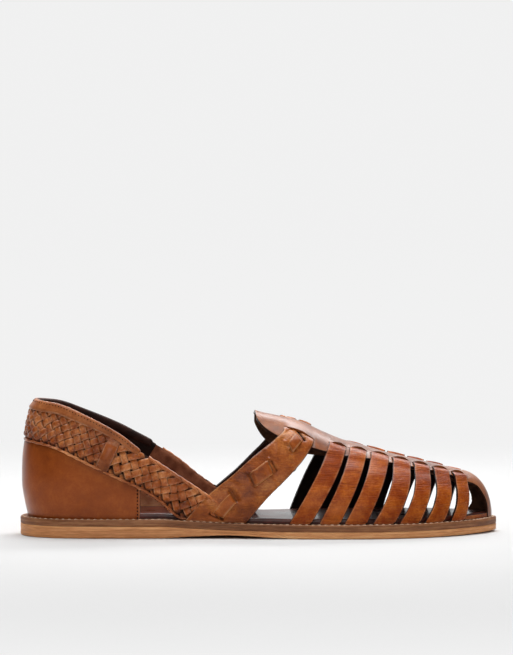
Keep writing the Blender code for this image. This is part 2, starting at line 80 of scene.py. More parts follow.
# Height of the middle of the foot, and its rearmost x: every sheet looks away from it.
FOOT_MIDDLE = 22.0
HEEL_MIDDLE = 70.0
SHARP_ANGLE = math.radians(50)
# How far the upper's lowest points go into the sole.
SEAT = 0.1
# Rim distance of a surface that has no cut edge near.
NO_EDGE = 9.0
LATERAL, MEDIAL = -1, 1
NAMES = {LATERAL: "lateral", MEDIAL: "medial"}

SOLE_PLAN = (
    # x, lateral, medial
    (0, 0, 0), (3, 13.5, 13.5), (10, 23, 22.5), (20, 29.5, 28.5), (40, 34, 33), (60, 35.5, 33),
    (90, 37, 31), (120, 39.5, 31), (150, 44, 36), (180, 48, 44.5), (200, 49.3, 48.2), (215, 49, 49),
    (235, 45.5, 46.8), (255, 38, 41.2), (270, 28, 34.2), (282, 15.8, 25.8), (290, 5.2, 18),
)
SOLE_PROFILE = (
    # x, underside, top of the midsole
    (0, 0, 11.5), (10, 0, 11.5), (84, 0, 11.5), (100, 0.9, 10.6), (127, 1.9, 9.3), (152, 0.7, 8.7),
    (170, 0, 8.5), (236, 0, 8.5), (258, 0.2, 8.8), (280, 0.5, 8.9), (295, 0.9, 9.2),
)
RIDGE = (
    # x, height
    (0, 104), (60, 104), (90, 102), (110, 96), (130, 85), (145, 75.8), (161, 72), (173, 68.8),
    (186, 62.8), (198, 57.7), (210, 54.2), (223, 50.1), (248, 43.9), (260, 41), (272, 37.5),
)
FULLNESS = (
    # x, exponent of the cross-section
    (140, 1.95), (165, 1.85), (200, 1.95), (235, 2.1), (280, 2.1),
)
REAR_LEAN = (
    # height above the midsole, back of the heel, its corners, quarters
    (0, 1.2, 0.5, 0), (8.6, -0.6, -0.7, -0.8), (21, -2.3, -1.1, -0.9), (33, -2.2, 0, -0.2),
    (51, -0.2, 3.2, 2.5), (64, 2.6, 7, 5.6), (73, 7.2, 11.2, 8.4), (80, 11.5, 15, 11),
)
LEAN_AT = (3.8, 15.0, 38.0)
SPINE = (
    # x, half width
    (144.6, 6), (145, 12), (146.4, 15), (150, 18.8), (156, 22), (166, 26), (185, 27), (212, 25),
    (240, 21.5), (262, 18), (277, 14.8),
)
STRAPS = (
    # lateral foot, lateral half way, medial foot, medial half way, ridge
    (169.5, 185.5, 173.8, 185.5, 196), (187.5, 199.7, 190.2, 199.8, 208.4),
    (203.3, 214.3, 206.3, 214.2, 221.5), (220.7, 230.9, 221.4, 227.2, 234),
    (236.9, 245.3, 234.4, 240.4, 246.2), (252.7, 259.4, 248.2, 253.5, 257.8),
    (267.9, 272.2, 262.6, 266.6, 269),
)
STRAP_WIDTHS = (
    # along x, in the same places
    (13.4, 11.5, 12.6, 12.2, 10), (12.8, 11.2, 12.8, 12.2, 10.5), (13.8, 11.6, 12.8, 12, 11.2),
    (13.6, 11.8, 11.6, 10.6, 10.8), (12.9, 10.4, 10.8, 10.4, 10), (12.4, 9.9, 10.8, 10.6, 10),
    (9.4, 8, 9.8, 9, 8.8),
)
SLIT_SHARE = {LATERAL: 1.0, MEDIAL: 0.74}
SLITS = (
    # distance of each strap's slit from the ridge
    17.6, 16.8, 15.6, 15.2, 15.0, 14.0, 11.5,
)
INSTEP = (
    # height above the midsole, lateral rear and front edges, medial rear and front edges
    (0, 99.5, 137, 106, 143), (15, 112.5, 149.5, 119.5, 155.5), (30, 130, 164.5, 136, 169.5),
    (40, 141, 173.5, 145.5, 177), (48, 151, 178.5, 153.5, 180.5), (54, 158, 180, 160, 182),
)
BAND = (
    # x, lower edge lateral, lower edge medial, upper edge lateral, upper edge medial
    (3, 58.5, 58.5, 83, 83), (20, 54, 54, 79.5, 80), (40, 45, 46, 72.5, 74),
    (60, 35.5, 37.5, 62.5, 66.5), (72, 30, 32.5, 53.5, 60.5), (84, 22.5, 25, 46, 54),
    (98, 11.5, 15, 36.8, 44.8), (112, 10, 10.5, 27.5, 33.5), (126, 9.5, 10, 18, 24),
)
COUNTER_FRONT = {LATERAL: 72.5, MEDIAL: 97.0}
BINDING_FRONT = {LATERAL: 73.5, MEDIAL: 83.5}


def column(table, index):
    return np.array([row[index] for row in table], float)


def smooth_read(table, index, x):
    """A table's column at x, along a curve that doesn't overshoot between its rows."""
    knots, values = column(table, 0), column(table, index)
    spans = np.diff(knots)
    slopes = np.diff(values) / spans
    inner = slopes[:-1] * slopes[1:]
    means = np.where(inner > 0, 2 * inner / np.where(inner > 0, slopes[:-1] + slopes[1:], 1), 0)
    tangents = np.concatenate([slopes[:1], means, slopes[-1:]])
    x = np.clip(x, knots[0], knots[-1])
    i = np.clip(np.searchsorted(knots, x, side="right") - 1, 0, len(spans) - 1)
    t = (x - knots[i]) / spans[i]
    return (
        values[i] * (1 + 2 * t) * (1 - t) ** 2
        + values[i + 1] * t * t * (3 - 2 * t)
        + spans[i] * t * (1 - t) * (tangents[i] * (1 - t) - tangents[i + 1] * t)
    )


def ease(share):
    share = np.clip(share, 0, 1)
    return share * share * (3 - 2 * share)


def through_three(values, share):
    """The parabola with these values at 0, a half and 1."""
    low, middle, high = values
    ends = low * (1 - share) * (1 - 2 * share) + high * share * (2 * share - 1)
    return ends + 4 * middle * share * (1 - share)


def unit(vectors):
    return vectors / np.maximum(np.linalg.norm(vectors, axis=-1, keepdims=True), 1e-12)


def circle(count):
    return np.linspace(0, 2 * math.pi, count, endpoint=False)


def between(a, b, share):
    return a * (1 - share) + b * share


def spread(points, axis):
    """Running length along an axis of a grid of points."""
    steps = np.linalg.norm(np.diff(points, axis=axis), axis=-1)
    zero = np.zeros_like(np.take(steps, [0], axis=axis))
    return np.concatenate([zero, np.cumsum(steps, axis=axis)], axis=axis)


def read_line(at, run, line):
    """A line's points where its running measure has the wanted values."""
    return np.stack([np.interp(at, run, values) for values in line.T], axis=-1)


def read_grid(grid, row, place):
    """A grid's values between its rows and columns."""
    row, place = np.clip(row, 0, len(grid) - 1), np.clip(place, 0, grid.shape[1] - 1)
    i = np.minimum(row.astype(int), len(grid) - 2)
    k = np.minimum(place.astype(int), grid.shape[1] - 2)
    down, along = row - i, place - k
    if grid.ndim == 3:
        down, along = down[..., None], along[..., None]
    low = between(grid[i, k], grid[i, k + 1], along)
    return between(low, between(grid[i + 1, k], grid[i + 1, k + 1], along), down)


# ---- plan and last


def closed_curve(points, steps):
    """A centripetal Catmull-Rom curve round the points."""
    points = np.array(points)
    curve = []
    for i in range(len(points)):
        near = [points[(i + k - 1) % len(points)] for k in range(4)]
        knots = np.cumsum([0] + [math.sqrt(math.dist(a, b)) for a, b in zip(near, near[1:])])
        spans = (knots[:3], knots[1:]), (knots[:2], knots[2:]), (knots[1:2], knots[2:3])
        for t in np.linspace(knots[1], knots[2], steps, endpoint=False):
            level = near
            for lows, highs in spans:
                level = [
                    (a * (high - t) + b * (t - low)) / (high - low)
                    for a, b, low, high in zip(level, level[1:], lows, highs)
                ]
            curve += level
    return np.array(curve)


CURVE_STEPS = 16
SOLE_CURVE = closed_curve(
    [(x, -lateral) for x, lateral, _ in SOLE_PLAN]
    + [(LENGTH, RIDGE_Y_TOE)]
    + [(x, medial) for x, _, medial in SOLE_PLAN[:0:-1]],
    CURVE_STEPS,
)
TIP_INDEX = CURVE_STEPS * len(SOLE_PLAN)


def feather_inset():
    """How far the upper stands in from the sole's edge, at each point of the outline."""
    to_toe = ease((SOLE_CURVE[:, 0] - TOE_LEDGE_FROM) / TOE_LEDGE_LENGTH)
    return WELT_LEDGE + (TOE_LEDGE - WELT_LEDGE) * to_toe


def inset_curve(inset):
    """The sole's outline moved inwards, one half for each side, from heel to toe."""
    along = np.roll(SOLE_CURVE, -1, axis=0) - np.roll(SOLE_CURVE, 1, axis=0)
    along /= np.linalg.norm(along, axis=1)[:, None]
    inwards = np.stack([-along[:, 1], along[:, 0]], axis=1)
    moved = SOLE_CURVE + np.reshape(inset, (-1, 1)) * inwards
    return {
        LATERAL: moved[: TIP_INDEX + 1],
        MEDIAL: np.concatenate([moved[:1], moved[TIP_INDEX:][::-1]]),
    }


def underside(x):
    return smooth_read(SOLE_PROFILE, 1, x)


def sole_top(x):
    return smooth_read(SOLE_PROFILE, 2, x)


def ridge_y(x):
    return RIDGE_Y_TOE * np.clip((x - RIDGE_TURN) / RIDGE_TURN_LENGTH, 0, 1)


# First, last and step of the vamp's table of heights.
VAMP_X, VAMP_OUT = (140.0, 291.5, 0.5), (0.0, 60.0, 0.25)


class Side:
    """One side of the last, as ribs from the ridge out to the feather line round the sole."""

    def __init__(self, side):
        self.side = side
        self.foot = inset_curve(feather_inset())[side]
        run = spread(self.foot, 0)
        self.length, self.share = run[-1], run / run[-1]
        x = self.foot[:, 0]
        toe = np.clip((x - TOE_FAN_FROM) / (x[-1] - TOE_FAN_FROM), 0, 1)
        heel = np.clip((HEEL_FAN_FROM - x) / (HEEL_FAN_FROM - x[0]), 0, 1)
        root_x = x - TOE_FAN * toe**2 + HEEL_FAN * heel**2
        self.root = np.stack([root_x, ridge_y(root_x)], axis=1)
        self.base = sole_top(x) + GAP
        self.rise = smooth_read(RIDGE, 1, root_x) - self.base
        self.fullness = smooth_read(FULLNESS, 1, x)
        self.reach = np.linalg.norm(self.foot - self.root, axis=1)

    def share_out(self, level):
        """Share of each rib's length that the wall stands out, at a share of the rise."""
        vamp = (1 - np.clip(level, 0, 1) ** self.fullness) ** (1 / self.fullness)
        x, height = self.foot[:, 0], level * self.rise
        leans = [smooth_read(REAR_LEAN, place, height) for place in (1, 2, 3)]
        back, middle, front = LEAN_AT
        to_corner = ease((x - back) / (middle - back))
        to_quarter = ease((x - middle) / (front - middle))
        lean = leans[0] + (leans[1] - leans[0]) * to_corner + (leans[2] - leans[1]) * to_quarter
        return between(vamp, 1 - lean / self.reach, ease((REAR_END - x) / REAR_BLEND))

    def slice_at(self, level):
        """The wall all along this side, at shares of the rise."""
        plan = self.root + (self.foot - self.root) * self.share_out(level)[:, None]
        return np.column_stack([plan, self.base + level * self.rise])

    def slice_over(self, height):
        """The wall all along this side, at a height over the ground."""
        return self.slice_at((height - self.base) / self.rise)

    def at_x(self, xs, level):
        """The wall at each x, at a share of the rise."""
        cut = self.slice_at(np.full(len(self.share), level))
        return np.column_stack([xs, read_line(xs, cut[:, 0], cut[:, 1:])])

    def at_height(self, x, height):
        """The wall at x, at a height over the ground."""
        cut = self.slice_over(height)
        return np.array([x, np.interp(x, cut[:, 0], cut[:, 1]), height])

    @functools.cached_property
    def vamp_heights(self):
        """Heights of the vamp over a grid of x and distance out from the ridge."""
        xs, outs = np.arange(*VAMP_X), np.arange(*VAMP_OUT)
        levels = np.cos(np.linspace(0, math.pi / 2, 91))
        cuts = np.array([self.at_x(xs, level) for level in levels])
        table = np.empty((len(xs), len(outs)))
        for i, x in enumerate(xs):
            reach = self.side * (cuts[:, i, 1] - ridge_y(x))
            keep = np.concatenate([[True], np.diff(np.maximum.accumulate(reach)) > 1e-6])
            table[i] = np.interp(outs, reach[keep], cuts[keep, i, 2])
        return table

    def over(self, x, out):
        """The vamp at each x and distance out from the ridge's line."""
        x, out = np.broadcast_arrays(np.asarray(x, float), np.asarray(out, float))
        z = read_grid(self.vamp_heights, (x - VAMP_X[0]) / VAMP_X[2], out / VAMP_OUT[2])
        return np.stack([x, ridge_y(x) + self.side * out, z], axis=-1)


SIDES = {side: Side(side) for side in (LATERAL, MEDIAL)}


# ---- rear wall, as a table


class RearWall:
    """One side of the heel and quarter: points at each mm round the foot from the heel's back and
    at each mm of height."""

    LOWEST, HIGHEST, FURTHEST = 4.0, 94.0, 150.0

    def __init__(self, side):
        self.wall = SIDES[side]
        shares = np.arange(self.FURTHEST) / self.wall.length
        cuts = [self.wall.slice_over(z) for z in np.arange(self.LOWEST, self.HIGHEST)]
        self.points = np.array([read_line(shares, self.wall.share, cut) for cut in cuts])

    def foot_x(self, round_):
        return np.interp(round_ / self.wall.length, self.wall.share, self.wall.foot[:, 0])

    def read(self, round_, height):
        return read_grid(self.points, height - self.LOWEST, np.abs(round_))


REAR = {side: RearWall(side) for side in (LATERAL, MEDIAL)}


def foot_x(round_):
    """x of the foot of the wall at signed distances round the heel, positive on the medial side."""
    sides = [REAR[side].foot_x(np.abs(round_)) for side in SIDES]
    return np.where(np.asarray(round_) < 0, *sides)


def rear_point(round_, height, lift=0.0):
    """The rear wall at signed distances round the heel and at heights, lifted outwards."""
    round_, height, lift = np.broadcast_arrays(
        *(np.asarray(values, float) for values in (round_, height, lift))
    )

    def read(r, z):
        z = np.clip(z, 4.5, 92.0)
        return np.where((r < 0)[..., None], REAR[LATERAL].read(r, z), REAR[MEDIAL].read(r, z))

    step = 1.5
    along = read(round_ + step, height) - read(round_ - step, height)
    up = read(round_, height + step) - read(round_, height - step)
    return read(round_, height) + unit(np.cross(up, along)) * lift[..., None]


def band_heights(round_):
    """Lower and upper edges of the woven band."""
    x, lateral = foot_x(round_), np.asarray(round_) < 0
    edges = [smooth_read(BAND, edge, x) for edge in (1, 2, 3, 4)]
    return [np.where(lateral, *edges[:2]), np.where(lateral, *edges[2:])]


def signed_round(side, x):
    """Signed distance round the heel of the foot of the wall at x."""
    wall = SIDES[side]
    return side * float(np.interp(x, wall.foot[:, 0], wall.share)) * wall.length


# ---- meshes


def to_world(points):
    return points * MM + np.array([ORIGIN_X, 0, GROUND])


def border_distance(points, borders="0123"):
    """Distance of each point of a grid from its cut borders: first and last row, first and last
    column."""
    down, across = spread(points, 0), spread(points, 1)
    choices = [down, down[-1:] - down, across, across[:, -1:] - across]
    return np.min([choices[int(which)] for which in borders], axis=0)


def lifted(points, lift, inside=FOOT_MIDDLE):
    """A grid of points moved out along its own normals."""
    out = unit(np.cross(np.gradient(points, axis=0), np.gradient(points, axis=1)))
    middle = points.mean(axis=(0, 1))
    away = points - np.array([middle[0], ridge_y(middle[0]), inside])
    if (out * away).sum() < 0:
        out = -out
    return points + out * np.broadcast_to(lift, points.shape[:2])[..., None]


def put(owner, **settings):
    """Sets attributes by name."""
    for name, value in settings.items():
        setattr(owner, name, value)


def new_object(name, data):
    made = bpy.data.objects.new(name, data)
    bpy.context.scene.collection.objects.link(made)
    return made


def quads(number):
    """Faces between the points of a grid of point numbers."""
    corners = number[:-1, :-1], number[:-1, 1:], number[1:, 1:], number[1:, :-1]
    return np.stack(corners, axis=-1).reshape(-1, 4).tolist()


def numbers(points):
    return np.arange(points.shape[0] * points.shape[1]).reshape(points.shape[:2])


class Piece:
    """Points and faces gathered for one mesh. Each point has its distance from a cut edge, its
    place on the flat leather and how much painted shade it takes."""

    def __init__(self):
        self.points, self.rims, self.flats, self.faces, self.slots = [], [], [], [], []

    def add(self, points, faces, rim, slots, painted_shade):
        first, size = sum(map(len, self.points)), points.shape[:2]
        flat = spread(points, 1) * MM, spread(points, 0) * MM, np.broadcast_to(painted_shade, size)
        self.points.append(points.reshape(-1, 3))
        self.rims.append(np.broadcast_to(rim, size).ravel())
        self.flats.append(np.stack(flat, axis=-1).ravel())
        self.faces += [[corner + first for corner in face] for face in faces]
        self.slots += slots

    def grid(self, points, rim=None, slot=0, painted_shade=0.0):
        rim = border_distance(points) if rim is None else rim
        faces = quads(numbers(points))
        self.add(points, faces, rim, [slot] * len(faces), painted_shade)

    def tube(self, rings, slots=None, rim=NO_EDGE, caps=True, painted_shade=0.0):
        """A closed body through rings of points, with a slot for each face round a ring."""
        number = numbers(rings)
        faces = quads(np.hstack([number, number[:, :1]]))
        slots = (slots or [0] * rings.shape[1]) * (len(rings) - 1)
        if caps:
            faces += [number[0][::-1].tolist(), number[-1].tolist()]
            slots += [0, 0]
        self.add(rings, faces, rim, slots, painted_shade)

    def build(self, name, materials, thickness=0.0, bevel=0.0, merge=0.01, inner=1):
        """The mesh, given a sheet's thickness inwards, with inner as the inside's slot."""
        mesh = bpy.data.meshes.new(name)
        mesh.from_pydata(to_world(np.concatenate(self.points)).tolist(), [], self.faces)
        rim = mesh.attributes.new("rim", "FLOAT", "POINT")
        rim.data.foreach_set("value", np.concatenate(self.rims))
        # The flat attribute's third part carries the painted shade.
        flat = mesh.attributes.new("flat", "FLOAT_VECTOR", "POINT")
        flat.data.foreach_set("vector", np.concatenate(self.flats))
        for material in materials:
            mesh.materials.append(material)
        mesh.polygons.foreach_set("material_index", self.slots)
        builder = bmesh.new()
        builder.from_mesh(mesh)
        bmesh.ops.remove_doubles(builder, verts=builder.verts, dist=merge * MM)
        bmesh.ops.recalc_face_normals(builder, faces=builder.faces)
        if thickness and faces_inwards(builder):
            bmesh.ops.reverse_faces(builder, faces=builder.faces)
        builder.to_mesh(mesh)
        builder.free()
        mesh.shade_smooth()
        piece = new_object(name, mesh)
        if thickness:
            wall = piece.modifiers.new("wall", "SOLIDIFY")
            inner = inner if len(materials) > 1 else 0
            put(wall, thickness=thickness * MM, offset=-1, use_quality_normals=True)
            put(wall, material_offset=inner, material_offset_rim=0)
        if bevel:
            edges = piece.modifiers.new("edges", "BEVEL")
            put(edges, width=bevel * MM, segments=2, harden_normals=False)
            put(edges, limit_method="ANGLE", angle_limit=SHARP_ANGLE)
        else:
            mesh.set_sharp_from_angle(angle=SHARP_ANGLE)
        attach(piece, "root")
        return piece


def sheet(name, materials, points, thickness, bevel, rim=None, painted_shade=0.0):
    """One sheet of leather: its outer face, given a thickness and rounded edges."""
    piece = Piece()
    piece.grid(points, rim=rim, painted_shade=painted_shade)
    return piece.build(name, materials, thickness, bevel)


def faces_inwards(builder):
    """Whether a sheet's faces look, on the whole, at the middle of the foot."""
    facing = 0.0
    for face in builder.faces:
        middle = face.calc_center_median()
        x = max((middle.x - ORIGIN_X) / MM, HEEL_MIDDLE)
        axis = Vector((ORIGIN_X + x * MM, float(ridge_y(x)) * MM, GROUND + FOOT_MIDDLE * MM))
        facing += face.normal.dot(middle - axis) * face.calc_area()
    return facing < 0


# ---- materials


class Shader:
    """The nodes of a material or a world, made by name with their inputs."""

    def __init__(self, owner, surface="Principled BSDF"):
        owner.use_nodes = True
        self.tree = owner.node_tree
        self.surface = self.tree.nodes[surface]

    def feed(self, socket, value):
        if isinstance(value, bpy.types.NodeSocket):
            self.tree.links.new(value, socket)
        else:
            socket.default_value = value

    def node(self, kind, inputs=(), **settings):
        made = self.tree.nodes.new("ShaderNode" + kind)
        put(made, **settings)
        for name, value in dict(inputs).items():
            self.feed(made.inputs[name], value)
        return made

    def set(self, **inputs):
        for name, value in inputs.items():
            self.feed(self.surface.inputs[name.replace("_", " ")], value)

    def attribute(self, name, output):
        return self.node("Attribute", attribute_name=name).outputs[output]

    def scaled(self, place, scale=(1, 1, 1)):
        return self.node("Mapping", {"Vector": place, "Scale": scale}).outputs[0]

    def position(self, scale=(1, 1, 1)):
        return self.scaled(self.node("TexCoord").outputs["Object"], scale)

    def part(self, vector, axis):
        return self.node("SeparateXYZ", {"Vector": vector}).outputs[axis]

    def noise(self, vector, scale, detail=3.0, roughness=0.5):
        inputs = {"Vector": vector, "Scale": scale, "Detail": detail, "Roughness": roughness}
        return self.node("TexNoise", inputs).outputs[0]

    def math(self, operation, a, b=0.0, c=0.0):
        return self.node("Math", {0: a, 1: b, 2: c}, operation=operation).outputs[0]

    def map(self, value, low, high, to_low=0.0, to_high=1.0, kind="LINEAR"):
        inputs = {0: value, 1: low, 2: high, 3: to_low, 4: to_high}
        return self.node("MapRange", inputs, interpolation_type=kind).outputs[0]

    def step(self, value, low, high, to_low=0.0, to_high=1.0):
        return self.map(value, low, high, to_low, to_high, "SMOOTHSTEP")

    def ramp(self, value, stops):
        made = self.node("ValToRGB", {"Fac": value})
        elements = made.color_ramp.elements
        while len(elements) < len(stops):
            elements.new(0.5)
        for element, (place, colour) in zip(elements, stops):
            element.position = place
            element.color = linear(colour)
        return made.outputs[0]

    def mix(self, share, a, b):
        """Two colours mixed: the first is a node's, the second a constant."""
        inputs = {0: share, 6: a, 7: linear(b)}
        return self.node("Mix", inputs, data_type="RGBA").outputs[2]

    def bump(self, height, distance, strength=1.0, below=None):
        inputs = {"Height": height, "Distance": distance, "Strength": strength}
        if below is not None:
            inputs["Normal"] = below
        return self.node("Bump", inputs).outputs[0]


def linear(colour):
    """An sRGB colour in 0 to 255, made linear and opaque."""
    shares = [c / 255 for c in colour]
    return [*(c / 12.92 if c < 0.04045 else ((c + 0.055) / 1.055) ** 2.4 for c in shares), 1.0]


def new_shader(name):
    material = bpy.data.materials.new(name)
    return material, Shader(material)


# Painted light: leather is made lighter above these heights, in metres, as if lit from above.
TOP_LIGHT_HEIGHTS = (0.036, 0.07)
# Painted shade: what leather deep in a slit or under a strand is mixed towards.
SHADE_COLOUR = (16, 9, 6)


def leather(
    name, deep, middle, bright, edge, roughness=0.45, creases=0.0, grain=0.5, coat=0.1, wear_and_highlight=0.35,
    gloss=0.3, painted_top_light=0.0,
):
    """Grain leather: cloudy dye, pores, fine cross creases with painted shade in them and a cut
    edge. Near a cut edge it is lightened, partly as wear and partly as painted highlight; it can
    take painted light towards the top, and painted shade where the mesh asks for it.
    """
    material, shader = new_shader(name)
    place = shader.position()
    cloud = shader.noise(place, 26, 3, 0.55)
    mottle = shader.noise(place, 150, 5, 0.62)
    speck = shader.noise(place, 900, 2, 0.5)
    tone = shader.math("MULTIPLY_ADD", cloud, 0.52, shader.math("MULTIPLY", mottle, 0.36))
    tone = shader.math("MULTIPLY_ADD", speck, 0.12, tone)
    # Painted light: lighter towards the top, as if lit from above.
    if painted_top_light:
        height = shader.part(place, "Z")
        tone = shader.math("ADD", tone, shader.step(height, *TOP_LIGHT_HEIGHTS, 0.0, painted_top_light))
    colour = shader.ramp(tone, ((0.36, deep), (0.5, middle), (0.66, bright)))
    rim = shader.attribute("rim", "Fac")
    # Near a cut edge the leather is lightened: partly wear, partly painted highlight.
    lit = [min(255, c * 0.55 + 255 * 0.36) for c in bright]
    border = shader.step(rim, 0.5, 1.5, 1.0, 0.0)
    scuffed_and_highlit = shader.math("MULTIPLY", border, shader.map(mottle, 0.4, 0.6, 0.2, 1.0))
    colour = shader.mix(shader.math("MULTIPLY", scuffed_and_highlit, wear_and_highlight), colour, lit)
    colour = shader.mix(shader.step(rim, 0.05, 0.55, 1.0, 0.0), colour, edge)
    pores = shader.node("TexVoronoi", {"Vector": place, "Scale": 1150.0}).outputs["Distance"]
    normal = shader.bump(pores, 0.0001, grain)
    normal = shader.bump(shader.noise(place, 420, 4, 0.6), 0.0004, 0.35, normal)
    flat = shader.attribute("flat", "Vector")
    if creases:
        lines = shader.noise(shader.scaled(flat, (90, 950, 1)), 1, 3, 0.6)
        patches = shader.step(shader.noise(place, 60, 2), 0.42, 0.62)
        normal = shader.bump(shader.map(lines, 0.3, 0.52), 0.0006, creases * 0.8, normal)
        # Painted shade in the creases, mixed towards the deep colour.
        dark = shader.math("MULTIPLY", shader.step(lines, 0.46, 0.34), patches)
        colour = shader.mix(shader.math("MULTIPLY", dark, creases * 0.6), colour, deep)
    # Painted shade: the colour is mixed towards the shade colour by the flat attribute's third
    # part.
    painted_shade = shader.part(flat, "Z")
    shader.set(
        Base_Color=shader.mix(painted_shade, colour, SHADE_COLOUR),
        Roughness=shader.map(mottle, 0.3, 0.7, roughness - 0.07, roughness + 0.1),
        Normal=normal,
        Specular_IOR_Level=0.06,
        Coat_Weight=shader.map(painted_shade, 0.0, 1.0, coat, 0.0),
        Coat_Roughness=gloss,
        Coat_IOR=1.3,
    )
    return material


def plain_leather(name, dark, light, roughness, grain=0.4, coat=0.0, scale=120):
    """Lining, footbed or thread: two tones with a fine surface."""
    material, shader = new_shader(name)
    place = shader.position()
    tone = shader.noise(place, scale, 4, 0.6)
    shader.set(
        Base_Color=shader.ramp(tone, ((0.38, dark), (0.64, light))),
        Roughness=shader.map(tone, 0.3, 0.7, roughness - 0.06, roughness + 0.08),
        Normal=shader.bump(shader.noise(place, 900, 3, 0.6), 0.0002, grain),
        Specular_IOR_Level=0.12,
        Coat_Weight=coat,
    )
    return material


def sole_leather(name, dark, middle, light, roughness):
    """The edge of stacked sole leather: long level streaks, burnished."""
    material, shader = new_shader(name)
    layers = shader.noise(shader.position((26, 26, 900)), 1, 4, 0.6)
    clouds = shader.noise(shader.position((9, 9, 160)), 1, 3, 0.5)
    fibres = shader.noise(shader.position((60, 60, 420)), 2, 3, 0.6)
    tone = shader.math("MULTIPLY_ADD", layers, 0.4, shader.math("MULTIPLY", clouds, 0.34))
    tone = shader.math("MULTIPLY_ADD", fibres, 0.26, tone)
    shader.set(
        Base_Color=shader.ramp(tone, ((0.36, dark), (0.5, middle), (0.64, light))),
        Roughness=shader.map(layers, 0.3, 0.7, roughness - 0.08, roughness + 0.1),
        Normal=shader.bump(layers, 0.0003, 0.5),
        Specular_IOR_Level=0.2,
    )
    return material


STRAP_LEATHER = leather(
    "strap_leather", (100, 34, 4), (148, 62, 10), (196, 104, 32), (30, 14, 8), 0.42, 0.9,
    coat=0.45, painted_top_light=0.17,
)
INSTEP_LEATHER = leather(
    "instep_leather", (104, 42, 8), (158, 79, 23), (212, 134, 62), (34, 16, 9), 0.42, 0.8, 0.9, 0.8,
    painted_top_light=0.07,
)
# Its light cut-edge colour is partly the raw edge and partly painted highlight along the lace's
# edges.
LACE_LEATHER = leather(
    "lace_leather", (104, 42, 8), (156, 77, 22), (200, 120, 52), (190, 126, 68), 0.42, 0.4, 0.7, 0.8
)
INSTEP_BACK = plain_leather("instep_backing", (40, 18, 11), (74, 38, 25), 0.65)
SPINE_LEATHER = leather(
    "spine_leather", (98, 45, 12), (138, 72, 24), (172, 104, 46), (44, 22, 12), 0.4, 0.25,
    coat=0.85, wear_and_highlight=0.1, gloss=0.3,
)
COUNTER_FACE = leather(
    "counter_leather", (134, 61, 16), (154, 74, 22), (180, 95, 35), (36, 18, 9), 0.36, 0, 0.2,
    0.8, 0.3,
)
KEEPER_FACE = leather(
    "keeper_leather", (118, 52, 18), (148, 74, 30), (180, 100, 48), (60, 28, 14), 0.36, 0, 0.2,
    1.0, 0.75, 0.2,
)
BINDING_FACE = leather(
    "binding_leather", (112, 58, 26), (148, 82, 42), (184, 116, 68), (70, 34, 18), 0.42, 0, 0.35,
    0.5,
)
# Its light cut-edge colour is partly worn edge and partly painted highlight along the strands'
# edges.
STRAND_LEATHER = leather(
    "strand_leather", (84, 32, 9), (140, 66, 24), (214, 134, 74), (236, 176, 124), 0.4, 0, 0.3, 1.0,
    gloss=0.2,
)
# A lighter copy of the strand leather: painted light on the band's sides. Its light edge colour
# mixes worn edge and painted highlight, as above.
SIDE_STRAND_LEATHER = leather(
    "side_strand_leather", (104, 43, 14), (170, 88, 37), (234, 158, 96), (244, 190, 140), 0.4, 0,
    0.3, 1.0, gloss=0.2,
)
LINING = plain_leather("dark_lining", (20, 12, 10), (44, 27, 21), 0.6)
SPINE_LINING = plain_leather("toe_lining", (70, 46, 32), (112, 78, 56), 0.65)
COLLAR_LINING = plain_leather("collar_lining", (34, 18, 14), (62, 35, 27), 0.6)
# A pale pink lining, raised further to stand in for light on the inner wall, which lies in shade:
# partly its own colour, partly painted light.
COUNTER_LINING = plain_leather("counter_lining", (190, 126, 90), (224, 166, 128), 0.45, 0.3, 0.2)
QUARTER_BACK = plain_leather("quarter_backing", (118, 66, 44), (172, 108, 78), 0.7)
FOOTBED = plain_leather("footbed_leather", (54, 23, 18), (98, 48, 37), 0.3, 0.25, 0.3, 60)
WELT_FACE = sole_leather("welt_leather", (96, 57, 35), (139, 90, 59), (180, 127, 87), 0.5)
OUTSOLE_FACE = sole_leather(
    "outsole_leather", (180, 116, 70), (220, 152, 99), (242, 186, 130), 0.48
)
THREAD = plain_leather("cream_thread", (176, 138, 108), (232, 204, 174), 0.7, 0.6, 0.0, 700)
DARK_THREAD = plain_leather("dark_thread", (24, 13, 8), (62, 33, 20), 0.7, 0.6, 0.0, 700)


# ---- sole


def outline_ring(inset, height, above=0.0):
    """The sole's outline at an inset and so far above a height that is a function of x."""
    halves = inset_curve(inset)
    ring = np.concatenate([halves[LATERAL], halves[MEDIAL][-2:0:-1]])
    return np.column_stack([ring, height(ring[:, 0]) + above])


def sole_layer(name, profile, materials):
    """A layer of the sole, from rings of (inset, height, how far above it) between two flats."""
    piece = Piece()
    rings = np.array([outline_ring(*row) for row in profile])
    piece.tube(rings, caps=False)
    half = rings.shape[1] // 2
    for ring in (rings[0], rings[-1]):
        lateral, medial = ring[: half + 1], np.concatenate([ring[:1], ring[half:][::-1]])
        across = np.linspace(0, 1, 15)[None, :, None]
        piece.grid(between(lateral[:, None], medial[:, None], across), rim=NO_EDGE)
    return piece.build(name, materials, merge=0.02)


def split_height(x):
    return sole_top(x) - MIDSOLE_THICKNESS


def add_outsole():
    def up_the_stack(share):
        return lambda x: between(underside(x), split_height(x), share)

    groove, groove_half = 0.5, 0.09
    profile = (
        (3.0, underside), (0.9, underside), (0.35, underside, 0.25), (0.1, underside, 0.8),
        (0.1, up_the_stack(groove - groove_half)),
        (0.32, up_the_stack(groove)),
        (0.05, up_the_stack(groove + groove_half)),
        (0.05, split_height, -0.35), (0.3, split_height, 0.02), (3.0, split_height, 0.02),
    )
    piece = sole_layer("outsole_stack", profile, [OUTSOLE_FACE])
    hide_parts("outsole")


